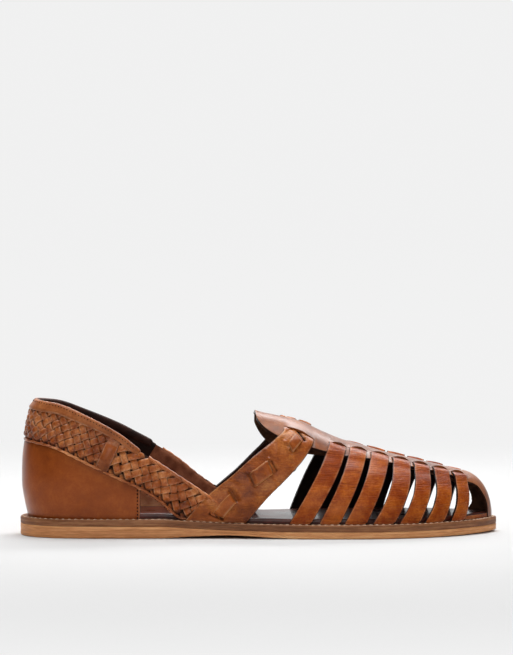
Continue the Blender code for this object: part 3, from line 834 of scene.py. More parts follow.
def add_welt():
    profile = (
        (3.0, split_height, 0.08), (0.45, split_height, 0.08), (0.1, split_height, 0.4),
        (0.0, split_height, 1.1), (0.0, sole_top, -1.1), (0.12, sole_top, -0.45),
        (0.4, sole_top, -0.12), (0.8, sole_top), (1.1, sole_top, -0.05), (1.5, sole_top, -0.3),
        (2.0, sole_top, -0.08), (2.6, sole_top, -0.02), (6.0, sole_top),
    )
    piece = sole_layer("welt", profile, [WELT_FACE])
    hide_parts("midsole")


def along_curve(points, pitch):
    """Places at even steps along a line of points, with the direction there."""
    run = spread(points, 0)
    count = max(int(run[-1] / pitch), 2)
    at = (np.arange(count) + 0.5) * run[-1] / count
    middle, ahead, behind = (read_line(at + step, run, points) for step in (0, 0.4, -0.4))
    return middle, unit(ahead - behind)


def add_stitches(name, places, directions, ups, length, width, material, proud=0.3):
    """Stitches: short rounded threads, whose ends dip into the leather."""
    piece = Piece()
    turn = circle(8)[:, None]
    for place, along, up in zip(places, directions, ups):
        up = unit(up - along * np.dot(up, along))
        side = np.cross(along, up)
        rings = []
        for t in np.linspace(-0.5, 0.5, 7):
            bow = 1 - (2 * t) ** 2
            radius = width / 2 * (0.45 + 0.55 * math.sqrt(max(bow, 0)))
            centre = place + along * length * t + up * (proud * bow - 0.12 - 0.25 * (1 - bow))
            rings.append(centre + radius * (side * np.cos(turn) + up * 0.8 * np.sin(turn)))
        piece.tube(np.array(rings))
    return piece.build(name, [material])


def add_welt_stitches():
    line = outline_ring(1.5, sole_top, -0.12)
    middle, along = along_curve(np.concatenate([line, line[:1]]), 3.9)
    up = np.tile([0.0, 0.0, 1.0], (len(middle), 1))
    piece = add_stitches("welt_stitches", middle, along, up, 3.0, 0.85, THREAD)


def add_footbed():
    top = GAP + INSOLE_THICKNESS
    inset = feather_inset() + LEATHER + 0.5
    profile = (
        (inset + 1.0, sole_top, GAP), (inset, sole_top, GAP), (inset, sole_top, top - 0.7),
        (inset + 0.3, sole_top, top - 0.2), (inset + 0.9, sole_top, top),
        (inset + 4.0, sole_top, top - 0.15),
    )
    piece = sole_layer("footbed", profile, [FOOTBED])
    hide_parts("insole")


# ---- vamp


def strap_x(index, side, across, level):
    """x across a vamp strap, from its rear edge (-1) to its front edge (+1)."""
    first = 0 if side == LATERAL else 2
    centre, width = (
        through_three((*row[first : first + 2], row[4]), level)
        for row in (STRAPS[index], STRAP_WIDTHS[index])
    )
    return centre + across * width / 2


def spine_half(x):
    return smooth_read(SPINE, 1, x)


# The row nearest to the ridge stops short of it, by this angle; rows are finer this close to the
# slit; and the strap goes on under the spine for this length.
TOP_ANGLE, FINE_LENGTH, UNDER_SPINE = 0.06, 3.0, 7.0
STRAP_COLUMNS, COARSE_ROWS, FINE_ROWS = 11, 34, 18


def strap_surface(index, side):
    """The vamp strap's line on the last, from the sole to beyond its slit: points, distance past
    the slit and past the margin's edge."""
    across = np.linspace(-1, 1, STRAP_COLUMNS)
    levels = np.cos(np.linspace(math.pi / 2, TOP_ANGLE, 150))
    rows = np.array(
        [SIDES[side].at_x(strap_x(index, side, across, level), max(level, 0.0)) for level in levels]
    )
    middle = rows[:, STRAP_COLUMNS // 2]
    out = side * (middle[:, 1] - ridge_y(middle[:, 0]))
    run = spread(middle, 0)
    slit = np.interp(-SLITS[index] * SLIT_SHARE[side], -out, run)
    edge = np.interp(0, spine_half(middle[:, 0]) - out, run)
    coarse = np.linspace(0, slit - FINE_LENGTH, COARSE_ROWS)
    fine = np.linspace(slit - FINE_LENGTH, slit + UNDER_SPINE, FINE_ROWS)
    wanted = np.concatenate([coarse, fine[1:]])
    row, column = np.meshgrid(
        np.interp(wanted, run, np.arange(len(run))), np.arange(STRAP_COLUMNS), indexing="ij"
    )
    return read_grid(rows, row, column), wanted - slit, wanted - edge, across


VAMP_ENTRY = {
    # by side: dip before the slit; height, place and width of the hump before it; start, depth
    # and length of the dive under the spine
    LATERAL: (0.75, (0, 0, 1), (0.6, 2.6, 3.4)),
    MEDIAL: (0, (1.25, 3.0, 2.6), (2.2, 2.6, 2.6)),
}
INSTEP_ENTRY = {
    # the same for the instep strap
    LATERAL: (0.7, (0, 0, 1), (0.8, 2.0, 2.6)),
    MEDIAL: (0, (3.0, 3.4, 3.4), (2.4, 2.2, 2.4)),
}
# Painted shade: where a vamp strap goes dark in its slit, and over what length.
VAMP_SHADE = {LATERAL: -1.6, MEDIAL: -1.4}
SHADE_LENGTH = 0.9
# How far a strap stands off the last, and how much further on the spine's margin.
VAMP_OFF, VAMP_ON_MARGIN = 0.15, 1.35
INSTEP_OFF, INSTEP_ON_MARGIN, INSTEP_ON_BAND = 0.3, 1.3, 1.7
VAMP_CROWN, VAMP_WAVE, INSTEP_CROWN = 0.35, 0.12, 0.3
# The instep strap's rolled edges: depth and width, as a share of the strap's.
EDGE_ROLL, EDGE_ROLL_WIDTH = 0.35, 0.06


def into_slit(lift, past, dip, hump, dive):
    """A strap's lift where it meets its slit, by distance past the slit."""
    height, before, width = hump
    start, painted_shade, length = dive
    lift = lift - dip * ease((past + 4.5) / 4.0)
    lift = lift + height * np.exp(-(((past + before) / width) ** 2))
    return lift - (lift + painted_shade) * ease((past + start) / length)


def crown(share):
    """A rounded rise across a strap, from 0 at its edges to 1 half way."""
    return 1 - (2 * share - 1) ** 2


def add_strap(index, side):
    points, past_slit, past_edge, across = strap_surface(index, side)
    off = VAMP_OFF + VAMP_ON_MARGIN * ease((past_edge + 6) / 7)
    off = into_slit(off, past_slit, *VAMP_ENTRY[side])
    wave = VAMP_WAVE * np.sin(past_slit * 0.55 + index * 1.7 + side)
    lift = off[:, None] + (VAMP_CROWN + wave[:, None]) * (1 - across**2)
    points[0, :, 2] = sole_top(points[0, :, 0]) - SEAT
    face = lifted(points, lift)
    face[0, :, 2] = points[0, :, 2]
    # Painted shade on the part of the strap inside its slit.
    past_shade = past_slit[:, None] - VAMP_SHADE[side] - SHADE_LENGTH * across**2
    name = f"vamp_strap_{index + 1}_{NAMES[side]}"
    materials = [STRAP_LEATHER, LINING]
    made = sheet(name, materials, face, 1.7, 0.38, painted_shade=ease(past_shade / SHADE_LENGTH))


def slit_places(side):
    """x of each strap where it enters its slit, and its half width there."""
    found = []
    for index in range(len(STRAPS)):
        points, past_slit, _, _ = strap_surface(index, side)
        row = points[int(np.argmin(np.abs(past_slit)))]
        found.append(((row[0, 0] + row[-1, 0]) / 2, (row[-1, 0] - row[0, 0]) / 2))
    return found


INSTEP_SLIT = {
    # side: (x, distance from the ridge) at the rear and the front end of the slit
    LATERAL: ((161.8, 15.6), (180.0, 21.2)),
    MEDIAL: ((160.5, 7.4), (179.0, 9.6)),
}
SLIT_PLACES = {side: slit_places(side) for side in SIDES}


def slit_line(side, x):
    """Distance from the ridge of the line that the slits lie on."""
    (x0, out0), (x1, out1) = INSTEP_SLIT[side]
    xs = [140, x0, x1] + [centre for centre, _ in SLIT_PLACES[side]] + [292]
    slits = [out * SLIT_SHARE[side] for out in SLITS]
    outs = [out0 - 6, out0, out1, *slits, slits[-1] - 2.5]
    return np.minimum(np.interp(x, xs, outs), spine_half(x) * 0.8)


def slit_opening(side, x):
    """How far each slit is open at x, as a share."""
    (x0, _), (x1, _) = INSTEP_SLIT[side]
    open_ = np.sin(math.pi * np.clip((x - x0) / (x1 - x0), 0, 1)) ** 0.8
    for centre, half in SLIT_PLACES[side]:
        reach = half + 0.4
        open_ = np.maximum(open_, np.clip(1 - ((x - centre) / reach) ** 2, 0, 1) ** 0.9)
    return open_


SPINE_START, SPINE_TIP = 144.6, 7.0
# How far the leather stands up at the inner lip of an open slit.
SPINE_LIP = {LATERAL: 2.1, MEDIAL: 0.5}
MARGIN_CELLS, MIDDLE_CELLS = 7, 16


def spine_end(side):
    return strap_x(6, side, 1, 0.93) + 0.6


def half_spine(side, xs):
    """Rows of one half of the spine, from the ridge out: middle part, then margin."""
    slit, edge, open_ = slit_line(side, xs), spine_half(xs), slit_opening(side, xs)
    open_, slit, edge = open_[:, None], slit[:, None], edge[:, None]
    middle_u = np.linspace(0, 1, MIDDLE_CELLS + 1)
    margin_u = np.linspace(0, 1, MARGIN_CELLS + 1)
    lip = SPINE_LIP[side]
    rise = open_ * (0.3 + (lip - 0.3) * middle_u**4) * middle_u
    sink = open_ * (0.6 + 0.9 * (1 - margin_u))
    middle = lifted(SIDES[side].over(xs[:, None], slit * middle_u), 0.1 + rise)
    margin = lifted(SIDES[side].over(xs[:, None], between(slit, edge, margin_u)), 0.1 - sink)
    shut = open_[:, 0] < 0.02
    margin[shut, 0] = middle[shut, -1]
    return middle, margin, open_


def toe_rib(turn):
    wall = SIDES[LATERAL if turn < 0 else MEDIAL]
    share = 1 - abs(turn)
    return wall, *(read_line(share, wall.share, line) for line in (wall.root, wall.foot))


def toe_point(turn, out):
    """The toe's dome: turn runs round the toe from its tip, negative to the lateral side."""
    wall, root, foot = toe_rib(turn)
    base, rise, power = (
        np.interp(1 - abs(turn), wall.share, line) for line in (wall.base, wall.rise, wall.fullness)
    )
    plan = root + (foot - root) * out
    return np.array([*plan, base + rise * (1 - min(out, 1) ** power) ** (1 / power)])


def find_on_toe(point):
    """Turn round the toe and share out along a rib, of the point of the dome nearest to this."""
    best = None
    for turn in np.linspace(-0.4, 0.4, 241):
        _, root, foot = toe_rib(turn)
        rib = foot - root
        out = np.dot(point[:2] - root, rib) / np.dot(rib, rib)
        miss = np.linalg.norm(root + rib * out - point[:2])
        if 0 <= out <= 1 and (best is None or miss < best[0]):
            best = (miss, turn, out)
    return best[1:]


def toe_cap(side, edge):
    """The cap's half on one side: columns run down from the spine's last row to the sole."""
    starts = [find_on_toe(point) for point in edge]
    last_turn = starts[-1][0]
    columns = []
    for across, point, (turn, out) in zip(np.linspace(0, 1, len(edge)), edge, starts):
        offset = point - toe_point(turn, out)
        column_points = [point]
        for t in np.linspace(0, 1, 34)[1:] ** 1.5:
            angle = between(math.asin(min(out, 1)), math.pi / 2, t)
            edge_turn = side * cap_edge(side, t) / SIDES[side].length
            here = across * edge_turn + (turn - across * last_turn) * (1 - t) ** 2
            column_points.append(toe_point(here, min(math.sin(angle), 1)) + offset * (1 - t) ** 6)
        columns.append(column_points)
    cap = np.array(columns).transpose(1, 0, 2)
    cap[-1, :, 2] = sole_top(cap[-1, :, 0]) - SEAT
    return cap


def add_spine():
    """Tongue, spine and toe cap, one piece of leather with slits for the straps."""
    rear = SPINE_START + SPINE_TIP * (1 - np.cos(np.linspace(0, math.pi / 2, 13)))[:-1]
    halves = {}
    for side in SIDES:
        front = np.linspace(SPINE_START + SPINE_TIP, spine_end(side), 143)
        halves[side] = half_spine(side, np.concatenate([rear, front]))
    crest = 0.5 * (halves[LATERAL][0][:, 0] + halves[MEDIAL][0][:, 0])
    piece, edges = Piece(), {}
    for side, (middle, margin, open_) in halves.items():
        middle[:, 0] = crest
        whole = np.concatenate([middle, margin[:, 1:]], axis=1)
        to_slit = np.abs(spread(whole, 1) - spread(middle, 1)[:, -1:])
        rim = np.minimum(border_distance(whole, "03"), to_slit + 12 * np.sqrt(1 - open_))
        piece.grid(middle, rim=rim[:, : MIDDLE_CELLS + 1])
        piece.grid(margin, rim=rim[:, MIDDLE_CELLS:])
        edges[side] = whole[-1]
    for side, edge in edges.items():
        cap = toe_cap(side, edge)
        piece.grid(cap, rim=border_distance(cap, "3"))
    made = piece.build("spine", [SPINE_LEATHER, SPINE_LINING], 1.6, bevel=0.35, merge=0.06)
    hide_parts("upper")


CAP_EDGE = (
    # way down the toe, distance round the sole from the tip to the cap's edge: lateral, medial
    (0, 27.2, 25.6), (0.07, 19.3, 21.5), (0.19, 14, 18.9), (0.4, 11, 17.8), (0.6, 8.9, 18),
    (0.8, 8.6, 20.6), (1, 9.2, 24),
)


def cap_edge(side, down):
    return float(smooth_read(CAP_EDGE, 1 if side == LATERAL else 2, down))


INSTEP_ROWS, INSTEP_COLUMNS = 112, 45
# The end of the instep strap, under the spine: rows, travel forwards, inwards and down.
TAIL_ROWS, TAIL_FORWARD, TAIL_IN, TAIL_DOWN = 10, 1.5, 6.5, 2.9
INSTEP_EDGES = {LATERAL: (1, 2), MEDIAL: (3, 4)}


def instep_x(side, height, across):
    """x at a share of the way across the instep strap, at a height above the midsole."""
    rear, front = (smooth_read(INSTEP, index, height) for index in INSTEP_EDGES[side])
    return between(rear, front, across)


def instep_end(side, across):
    """x and distance out from the ridge of the instep strap's slit."""
    (x0, out0), (x1, out1) = INSTEP_SLIT[side]
    return x0 + (x1 - x0) * across, out0 + (out1 - out0) * across


def instep_surface(side):
    """The instep strap on the last: rows from the sole to its slit."""
    wall = SIDES[side]
    grid = []
    for across in np.linspace(0, 1, INSTEP_COLUMNS):
        end = wall.over(*instep_end(side, across))
        reach = end[2] - sole_top(end[0]) - GAP
        drift = end[0] - instep_x(side, reach, across)
        line = []
        for share in np.linspace(0, 1, INSTEP_ROWS):
            x = instep_x(side, reach * share, across) + drift * share**7
            line.append(wall.at_height(x, sole_top(x) + GAP + reach * share))
        grid.append(line)
    return np.array(grid).transpose(1, 0, 2)


INSTEP_HEIGHT = 54.0
LACE = (
    # where the laced strip shows: rear and front corner of its lower end, then of its upper end,
    # each as (share of the way across the strap, height)
    ((0.34, 5.0), (0.57, 2.4), (0.33, 17.5), (0.58, 12.6)),
    ((0.27, 28.8), (0.62, 22.2), (0.37, 37.2), (0.69, 31.2)),
    ((0.44, 46.6), (0.69, 43.4), (0.46, 52.4), (0.72, 50.0)),
)
SLOTS = (
    # from and to, as above; half width, how deep, how dark with painted shade
    ((0.31, 4.9), (0.58, 1.9), 0.9, 1.2, 0.9), ((0.31, 18.4), (0.54, 13.9), 1.6, 1.2, 0.28),
    ((0.26, 28.6), (0.62, 22), 0.45, 0.7, 0.35), ((0.44, 36.9), (0.70, 32.6), 0.6, 0.9, 0.6),
    ((0.44, 46), (0.70, 42.8), 0.4, 0.6, 0.4), ((0.43, 54.4), (0.76, 50.8), 0.9, 1.2, 1),
)
FOLDS = (
    # from and to; half width, rise
    ((0.08, 42), (0.37, 37.6), 1.3, 0.75), ((0.37, 37.6), (0.66, 32.4), 1.2, 0.8),
    ((0.15, 29.5), (0.54, 29.7), 0.7, 0.4), ((0.30, 29.6), (0.39, 35.8), 0.7, 0.4),
    ((0.08, 47.4), (0.40, 41.4), 0.8, 0.45), ((0.34, 47.2), (0.56, 44.5), 1.1, 0.7),
    ((0.56, 44.5), (0.80, 40), 1.2, 0.7), ((0.66, 41.4), (0.95, 36.2), 0.9, -0.5),
    ((0.13, 51.1), (0.26, 56), 1, -0.5), ((0.72, 30), (0.98, 26), 1, -0.35),
    ((0.05, 24), (0.30, 22), 1.2, -0.3), ((0.74, 18), (0.97, 12), 1.2, -0.35),
    ((0.02, 12), (0.24, 9), 1.2, 0.3),
)


def on_strap(points, place):
    """The point of a strap's grid at a share across and a height."""
    across, height = place
    row = np.clip(height / INSTEP_HEIGHT, 0, 1) * (len(points) - 1)
    return read_grid(points, row, np.clip(across, 0, 1) * (points.shape[1] - 1))


def near_line(points, start, end, half, power=2):
    """How near each point of a strap is to a line across it: 1 on the line, less past half."""
    start, end = on_strap(points, start), on_strap(points, end)
    along = end - start
    share = np.clip(((points - start) @ along) / (along @ along), 0, 1)
    away = np.linalg.norm(points - start - share[..., None] * along, axis=-1)
    return np.exp(-((away / half) ** power))


def add_instep_strap(side):
    points = instep_surface(side)
    past_slit = spread(points, 0)
    past_slit = past_slit - past_slit[-1:]
    x, y, z = np.moveaxis(points, -1, 0)
    inside = spine_half(x) - side * (y - ridge_y(x))
    share = np.linspace(0, 1, INSTEP_COLUMNS)[None]
    on_margin = INSTEP_ON_MARGIN * ease((inside + 5) / 6)
    on_band = INSTEP_ON_BAND * ease(1 - (z - 14) / 16) * ease(1 - (share - 0.55) / 0.45)
    lift = INSTEP_OFF + np.maximum(on_margin, on_band)
    # Painted shade: dark at the slit, in the slots and on the tail under the spine.
    painted_shade = ease((past_slit + 0.5) / 0.5)
    if side == MEDIAL:
        painted_shade = np.maximum(painted_shade, ease((past_slit + 1.3) / SHADE_LENGTH))
    for start, end, half, sunk, dark in SLOTS:
        near = near_line(points, start, end, half, 4)
        lift = lift - sunk * near
        painted_shade = np.maximum(painted_shade, dark * near)
    for start, end, half, rise in FOLDS:
        lift = lift + rise * near_line(points, start, end, half)
    lift = into_slit(lift + INSTEP_CROWN * crown(share), past_slit, *INSTEP_ENTRY[side])
    roll = EDGE_ROLL * (1 - ease(np.minimum(share, 1 - share) / EDGE_ROLL_WIDTH))
    face = lifted(points, lift - roll)
    face[0, :, 2] = sole_top(face[0, :, 0]) - SEAT
    xs, outs = instep_end(side, share)
    steps = np.linspace(0, 1, TAIL_ROWS + 1)[1:, None]
    tail = SIDES[side].over(xs + TAIL_FORWARD * steps, outs - TAIL_IN * steps)
    tail[..., 2] -= TAIL_DOWN
    whole = np.concatenate([face, tail])
    painted_shade = np.concatenate([painted_shade, np.ones((TAIL_ROWS, INSTEP_COLUMNS))])
    name = f"instep_strap_{NAMES[side]}"
    made = sheet(name, [INSTEP_LEATHER, INSTEP_BACK], whole, 1.7, 0.4, painted_shade=painted_shade)
    add_lace(side, face)


# Rise of the lace's loops over the strap, how far their ends start below it, the share of a loop
# that its ends take up, and its crown.
LACE_RISE, LACE_SUNK, LACE_END, LACE_CROWN = 1.35, 0.15, 0.16, 0.25


def add_lace(side, face):
    """The strip laced through the instep strap: its three visible lengths."""
    piece = Piece()
    share, across = np.linspace(0, 1, 26)[:, None], np.linspace(0, 1, 13)
    to_end = np.minimum(share, 1 - share)
    lift = LACE_RISE * ease(to_end / LACE_END) - LACE_SUNK + LACE_CROWN * crown(across)
    for corners in LACE:
        low_rear, low_front, high_rear, high_front = (np.array(corner) for corner in corners)
        rear = between(low_rear, high_rear, share)[:, None]
        front = between(low_front, high_front, share)[:, None]
        places = between(rear, front, across[:, None])
        strip = on_strap(face, (places[..., 0], places[..., 1]))
        # Painted shade where each loop's ends go into the strap.
        piece.grid(lifted(strip, lift), painted_shade=0.8 * ease(1 - to_end / 0.07))
    name = f"instep_lace_{NAMES[side]}"
    made = piece.build(name, [LACE_LEATHER], thickness=1.0, bevel=0.3)


# Where the toe's rim starts, the share of the cap's half width that it stops at, and its lower
# and upper edges above the upper's foot.
TOE_RIM_START, TOE_RIM_UNDER_CAP, TOE_RIM_HEIGHTS = 265.0, 0.6, (-0.3, 2.6)


def add_toe_rim():
    """The low strip of the upper that runs round the toe's openings at the sole."""
    for side in SIDES:
        wall = SIDES[side]
        start = side * signed_round(side, TOE_RIM_START)
        rounds = np.linspace(start, wall.length - TOE_RIM_UNDER_CAP * cap_edge(side, 1), 36)
        rows = []
        for height in np.linspace(*TOE_RIM_HEIGHTS, 6):
            cut = wall.slice_at(np.maximum(height, 0) / wall.rise)
            line = read_line(rounds / wall.length, wall.share, cut)
            line[:, 2] = sole_top(line[:, 0]) + GAP + height
            rows.append(line)
        face = lifted(np.array(rows), -0.5, inside=9.0)
        made = sheet(f"toe_rim_{NAMES[side]}", [STRAP_LEATHER, LINING], face, 1.2, 0.3)


# ---- heel


def band_frame(from_round, to_round, step=1.0, cells=12):
    """The woven band as a grid of (distance round, height): rows run along it, columns from its
    lower to its upper edge."""
    rounds = np.arange(from_round, to_round + step / 2, step)
    middle = np.mean(band_heights(rounds), axis=0)
    by_round = (rear_point(rounds + 1, middle) - rear_point(rounds - 1, middle)) / 2
    by_height = (rear_point(rounds, middle + 1) - rear_point(rounds, middle - 1)) / 2
    ahead = np.gradient(rear_point(rounds, middle), axis=0)
    across = unit(np.cross(ahead, np.cross(by_height, by_round)))
    across *= np.sign((across * by_height).sum(-1))[:, None]
    middle_line = np.stack([rounds, middle], axis=-1)
    steps = [(across * by).sum(-1) / (by**2).sum(-1) for by in (by_round, by_height)]
    reach = np.linspace(-24, 24, 385)
    table = []
    for place, turn in zip(middle_line, np.stack(steps, axis=-1)):
        line = place + turn * reach[:, None]
        low, high = band_heights(line[:, 0])
        inside = (line[:, 1] >= low) & (line[:, 1] <= high)
        table.append(line[inside][[0, -1]] if inside.any() else place + turn * [[-9], [9]])
    table = np.array(table)
    return between(table[:, :1], table[:, 1:], np.linspace(0, 1, cells + 1)[None, :, None])


def rings_round(line, side, out, aside, away):
    """Rings of points round a line, by their distances from it along two directions."""
    return line[:, None] + side[:, None] * aside[..., None] + out[:, None] * away[..., None]


# Height of the strands' middle line over the band and their swing, half their width as a share
# of the pitch, and half their thickness.
STRAND_BASE, STRAND_SWING, STRAND_HALF, STRAND_THICK = -0.35, 1.1, 0.44, 0.86


def weave(name, from_round, to_round, strands, materials, above=0.96):
    """A flat plait: each strand runs on the bias from edge to edge of the band and turns back
    there, over one and under one. It goes up to a share of the band's half width."""
    grid = band_frame(from_round, to_round)
    low, middle, high = (rear_point(*grid[:, column].T) for column in (0, 6, -1))
    reach = np.linalg.norm(high - low, axis=1) / 2 - 1.3
    steps = np.diff(spread(middle, 0)) / ((reach[1:] + reach[:-1]) / 2)
    phase = np.concatenate([[0], np.cumsum(steps)])
    half = STRAND_HALF * 4 * reach.mean() / strands / math.sqrt(2)
    piece = Piece()
    for strand in range(strands):
        for start in np.arange(-4 + 4 * strand / strands, phase[-1], 4):
            add_strand(piece, grid, phase, start, strands, half, above)
    return piece.build(name, materials, merge=0.002)


def strand_height(crossing, strands):
    """A strand's swing over (+1) and under (-1) the others, by crossings since the lower edge."""
    sign = 1 if strands % 2 == 0 else -1
    quarter, past = math.pi / 2, crossing - strands
    ends = [
        (crossing > 2 * strands - 1, sign * np.sin(quarter * (strands - past))),
        (crossing < 1, sign * np.sin(quarter * (1 - crossing))),
        (np.abs(past) < 1, np.sin(quarter * past)),
        (past <= 0, sign * np.cos(math.pi * crossing)),
    ]
    return np.select(*zip(*ends), -np.cos(math.pi * past))


def add_strand(piece, grid, phase, start, strands, half, above):
    """One strand's way up across the band and down again."""
    along = np.linspace(start, start + 4.0, 68)
    along = along[(along >= phase[0] + 0.02) & (along <= phase[-1] - 0.02)]
    if len(along) < 6:
        return
    height = strand_height((along - start) * strands / 2, strands)
    level = np.arcsin(0.996 * np.sin((along - start - 1) * math.pi / 2)) / (math.pi / 2)
    level = np.where(level < 0, level * 0.96, level * above)
    row = np.interp(along, phase, np.arange(len(phase)))
    flat = read_grid(grid, row, (level + 1) / 2 * (grid.shape[1] - 1))
    base = rear_point(*flat.T)
    out = rear_point(*flat.T, 1.0) - base
    step = np.gradient(base, axis=0)
    path = unit(step)
    side = unit(np.cross(out, path))
    lift = STRAND_BASE + STRAND_SWING * height
    centre = base + out * lift[:, None]
    slope = np.gradient(lift) / np.maximum(np.linalg.norm(step, axis=1), 1e-6)
    out = unit(out - path * slope[:, None])
    cos, sin = np.cos(circle(10)), np.sin(circle(10))
    wide = np.sign(cos) * np.abs(cos) ** 0.6
    thick = np.sign(sin) * np.abs(sin) ** 0.9
    rings = rings_round(centre, side, out, half * wide, STRAND_THICK * thick)
    # Painted shade on each strand's inner face and where it passes under the others.
    shade = np.maximum(ease((0.35 - thick) / 0.5), ease((-0.15 - height) / 0.7)[:, None])
    piece.tube(rings, rim=half * (1 - np.abs(wide)) + 0.3, painted_shade=0.92 * shade)


# Radii of the twisted cords along the band's upper and lower edges, and the length of a turn.
UPPER_CORD, LOWER_CORD, CORD_TWIST = 1.3, 0.85, 6.0


def add_edge_cord(name, from_round, to_round, upper):
    """A twisted leather cord along an edge of the woven band."""
    grid = band_frame(from_round, to_round, 0.7)
    edge, size = (grid[:, -1].T, UPPER_CORD) if upper else (grid[:, 0].T, LOWER_CORD)
    inward = unit(rear_point(*grid[:, 6].T) - rear_point(*edge))
    line = rear_point(*edge) + inward * (size * 0.6)
    out = unit(rear_point(*edge, 1.0) - rear_point(*edge))
    turn = circle(14)
    lobe = np.abs(np.cos(turn - math.pi * spread(line, 0)[:, None] / CORD_TWIST))
    radius = size * (0.82 + 0.26 * lobe)
    away = radius * np.sin(turn) * 1.15 + 0.1
    rings = rings_round(line, inward, out, radius * np.cos(turn), away)
    piece = Piece()
    # Painted shade in the grooves of the twist.
    piece.tube(rings, rim=1.1, painted_shade=0.6 * ease((0.34 - lobe) / 0.34))
    piece.build(name, [SIDE_STRAND_LEATHER])


KEEPER = {
    # side: corners as (x, height): bottom rear, bottom front, top rear, top front
    LATERAL: ((44.6, 42.9), (51.8, 38.4), (52.2, 61.6), (61.4, 58.9)),
    MEDIAL: ((50.6, 40.9), (57.8, 36.6), (58.2, 63.6), (67.4, 60.9)),
}
KEEPER_CROWN, KEEPER_PINCH = 0.85, 0.7
BAND_END = 121.0
WEAVE_SPLIT = {LATERAL: 52.0, MEDIAL: 58.0}
# Where the dark lining of the heel gives way to the bare back of the quarters.
LINING_FRONT = {LATERAL: BINDING_FRONT[LATERAL] + 8, MEDIAL: BINDING_FRONT[MEDIAL] - 6}


def add_band():
    ends = {side: signed_round(side, BAND_END) for side in SIDES}
    split = {side: signed_round(side, WEAVE_SPLIT[side]) for side in SIDES}
    made = weave("heel_weave", split[LATERAL] - 3, split[MEDIAL] + 3, 7, [STRAND_LEATHER])
    for side in SIDES:
        low, high = sorted((split[side] - side * 2, ends[side]))
        made = weave(f"side_weave_{NAMES[side]}", low, high, 5, [SIDE_STRAND_LEATHER], 0.86)
        cord = sorted((signed_round(side, BINDING_FRONT[side] - 1), ends[side]))
        add_edge_cord(f"upper_cord_{NAMES[side]}", *cord, True)
    add_edge_cord("lower_cord", ends[LATERAL], ends[MEDIAL], False)
    grid = band_frame(ends[LATERAL], ends[MEDIAL], 2.0, 10)
    backing = rear_point(grid[..., 0], grid[..., 1], -1.75)
    turns = [signed_round(side, LINING_FRONT[side]) for side in SIDES]
    cuts = [0, *np.searchsorted(grid[:, 5, 0], turns), len(grid) - 1]
    piece = Piece()
    for slot, low, high in zip((1, 0, 1), cuts, cuts[1:]):
        piece.grid(backing[low : high + 1], rim=NO_EDGE, slot=slot)
    # The backing's outer face is near black: painted shade in the gaps of the weave.
    linings = [DARK_THREAD, DARK_THREAD, LINING, QUARTER_BACK]
    made = piece.build("band_backing", linings, 0.7, inner=2)


# The counter's rows above its line with the band: how far up, and lift.
COUNTER_TUCK = ((0.9, 0.1), (2.0, -0.9), (4.0, -2.0))


def add_counter():
    ends = [signed_round(side, COUNTER_FRONT[side]) for side in SIDES]
    rounds = np.linspace(*ends, 161)
    low, high = sole_top(foot_x(rounds)) - SEAT, band_heights(rounds)[0]
    shares = np.linspace(0, 1, 25)[:, None]
    tuck_up, tuck_lift = np.array(COUNTER_TUCK).T[..., None]
    heights = np.vstack([low + (high - 0.2 - low) * shares, high - 0.2 + tuck_up])
    lifts = np.vstack([0.35 + 0.25 * np.sin(math.pi * shares), tuck_lift])
    points = rear_point(rounds, heights, lifts)
    points[0, :, 2] = low
    # Painted shade below the band's lower edge and just above the welt.
    under_band = 0.42 * np.exp(-np.maximum(high - heights, 0) / 3.2)
    shade = under_band + 0.3 * np.exp(-(heights - low) / 1.6)
    name, materials = "heel_counter_leather", [COUNTER_FACE, COUNTER_LINING]
    made = sheet(name, materials, points, 1.9, 0.35, border_distance(points, "23"), shade)
    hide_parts("heel_counter")
    for side in SIDES:
        x = COUNTER_FRONT[side] - 1.7
        round_ = signed_round(side, x)
        heights = np.arange(sole_top(x) + 0.8, band_heights(round_)[0] - 1.2, 2.1)
        below, places, above = (rear_point(round_, heights + up, 0.5) for up in (-0.5, 0, 0.5))
        out = rear_point(round_, heights, 1.5) - places
        along = unit(above - below)
        name = f"counter_stitches_{NAMES[side]}"
        made = add_stitches(name, places, along, out, 1.5, 0.95, DARK_THREAD, 0.2)


BINDING_PROFILE = (
    # out, share of the height down from the edge, further up
    (0.7, 1, 0), (1.5, 1, 0.1), (1.95, 0.86, 0), (1.75, 0.62, 0), (1.5, 0.4, 0), (1.55, 0.2, 0),
    (1.3, 0, 0.1), (0.7, 0, 0.75), (-0.3, 0, 1.05), (-1.5, 0, 1.05), (-2.5, 0, 0.6), (-3, 0.15, 0),
    (-3.2, 0.5, 0), (-3.1, 0.85, 0), (-2.6, 1, 0),
)


BINDING_HEIGHT = np.array([(5, 6.4), (30, 5.6), (50, 4.6), (66, 3.9), (80, 3.4)])
# Length over which the binding's ends round off.
BINDING_END = 2.6


def binding_height(round_):
    return np.interp(REAR[LATERAL].foot_x(np.abs(round_)), *BINDING_HEIGHT.T)


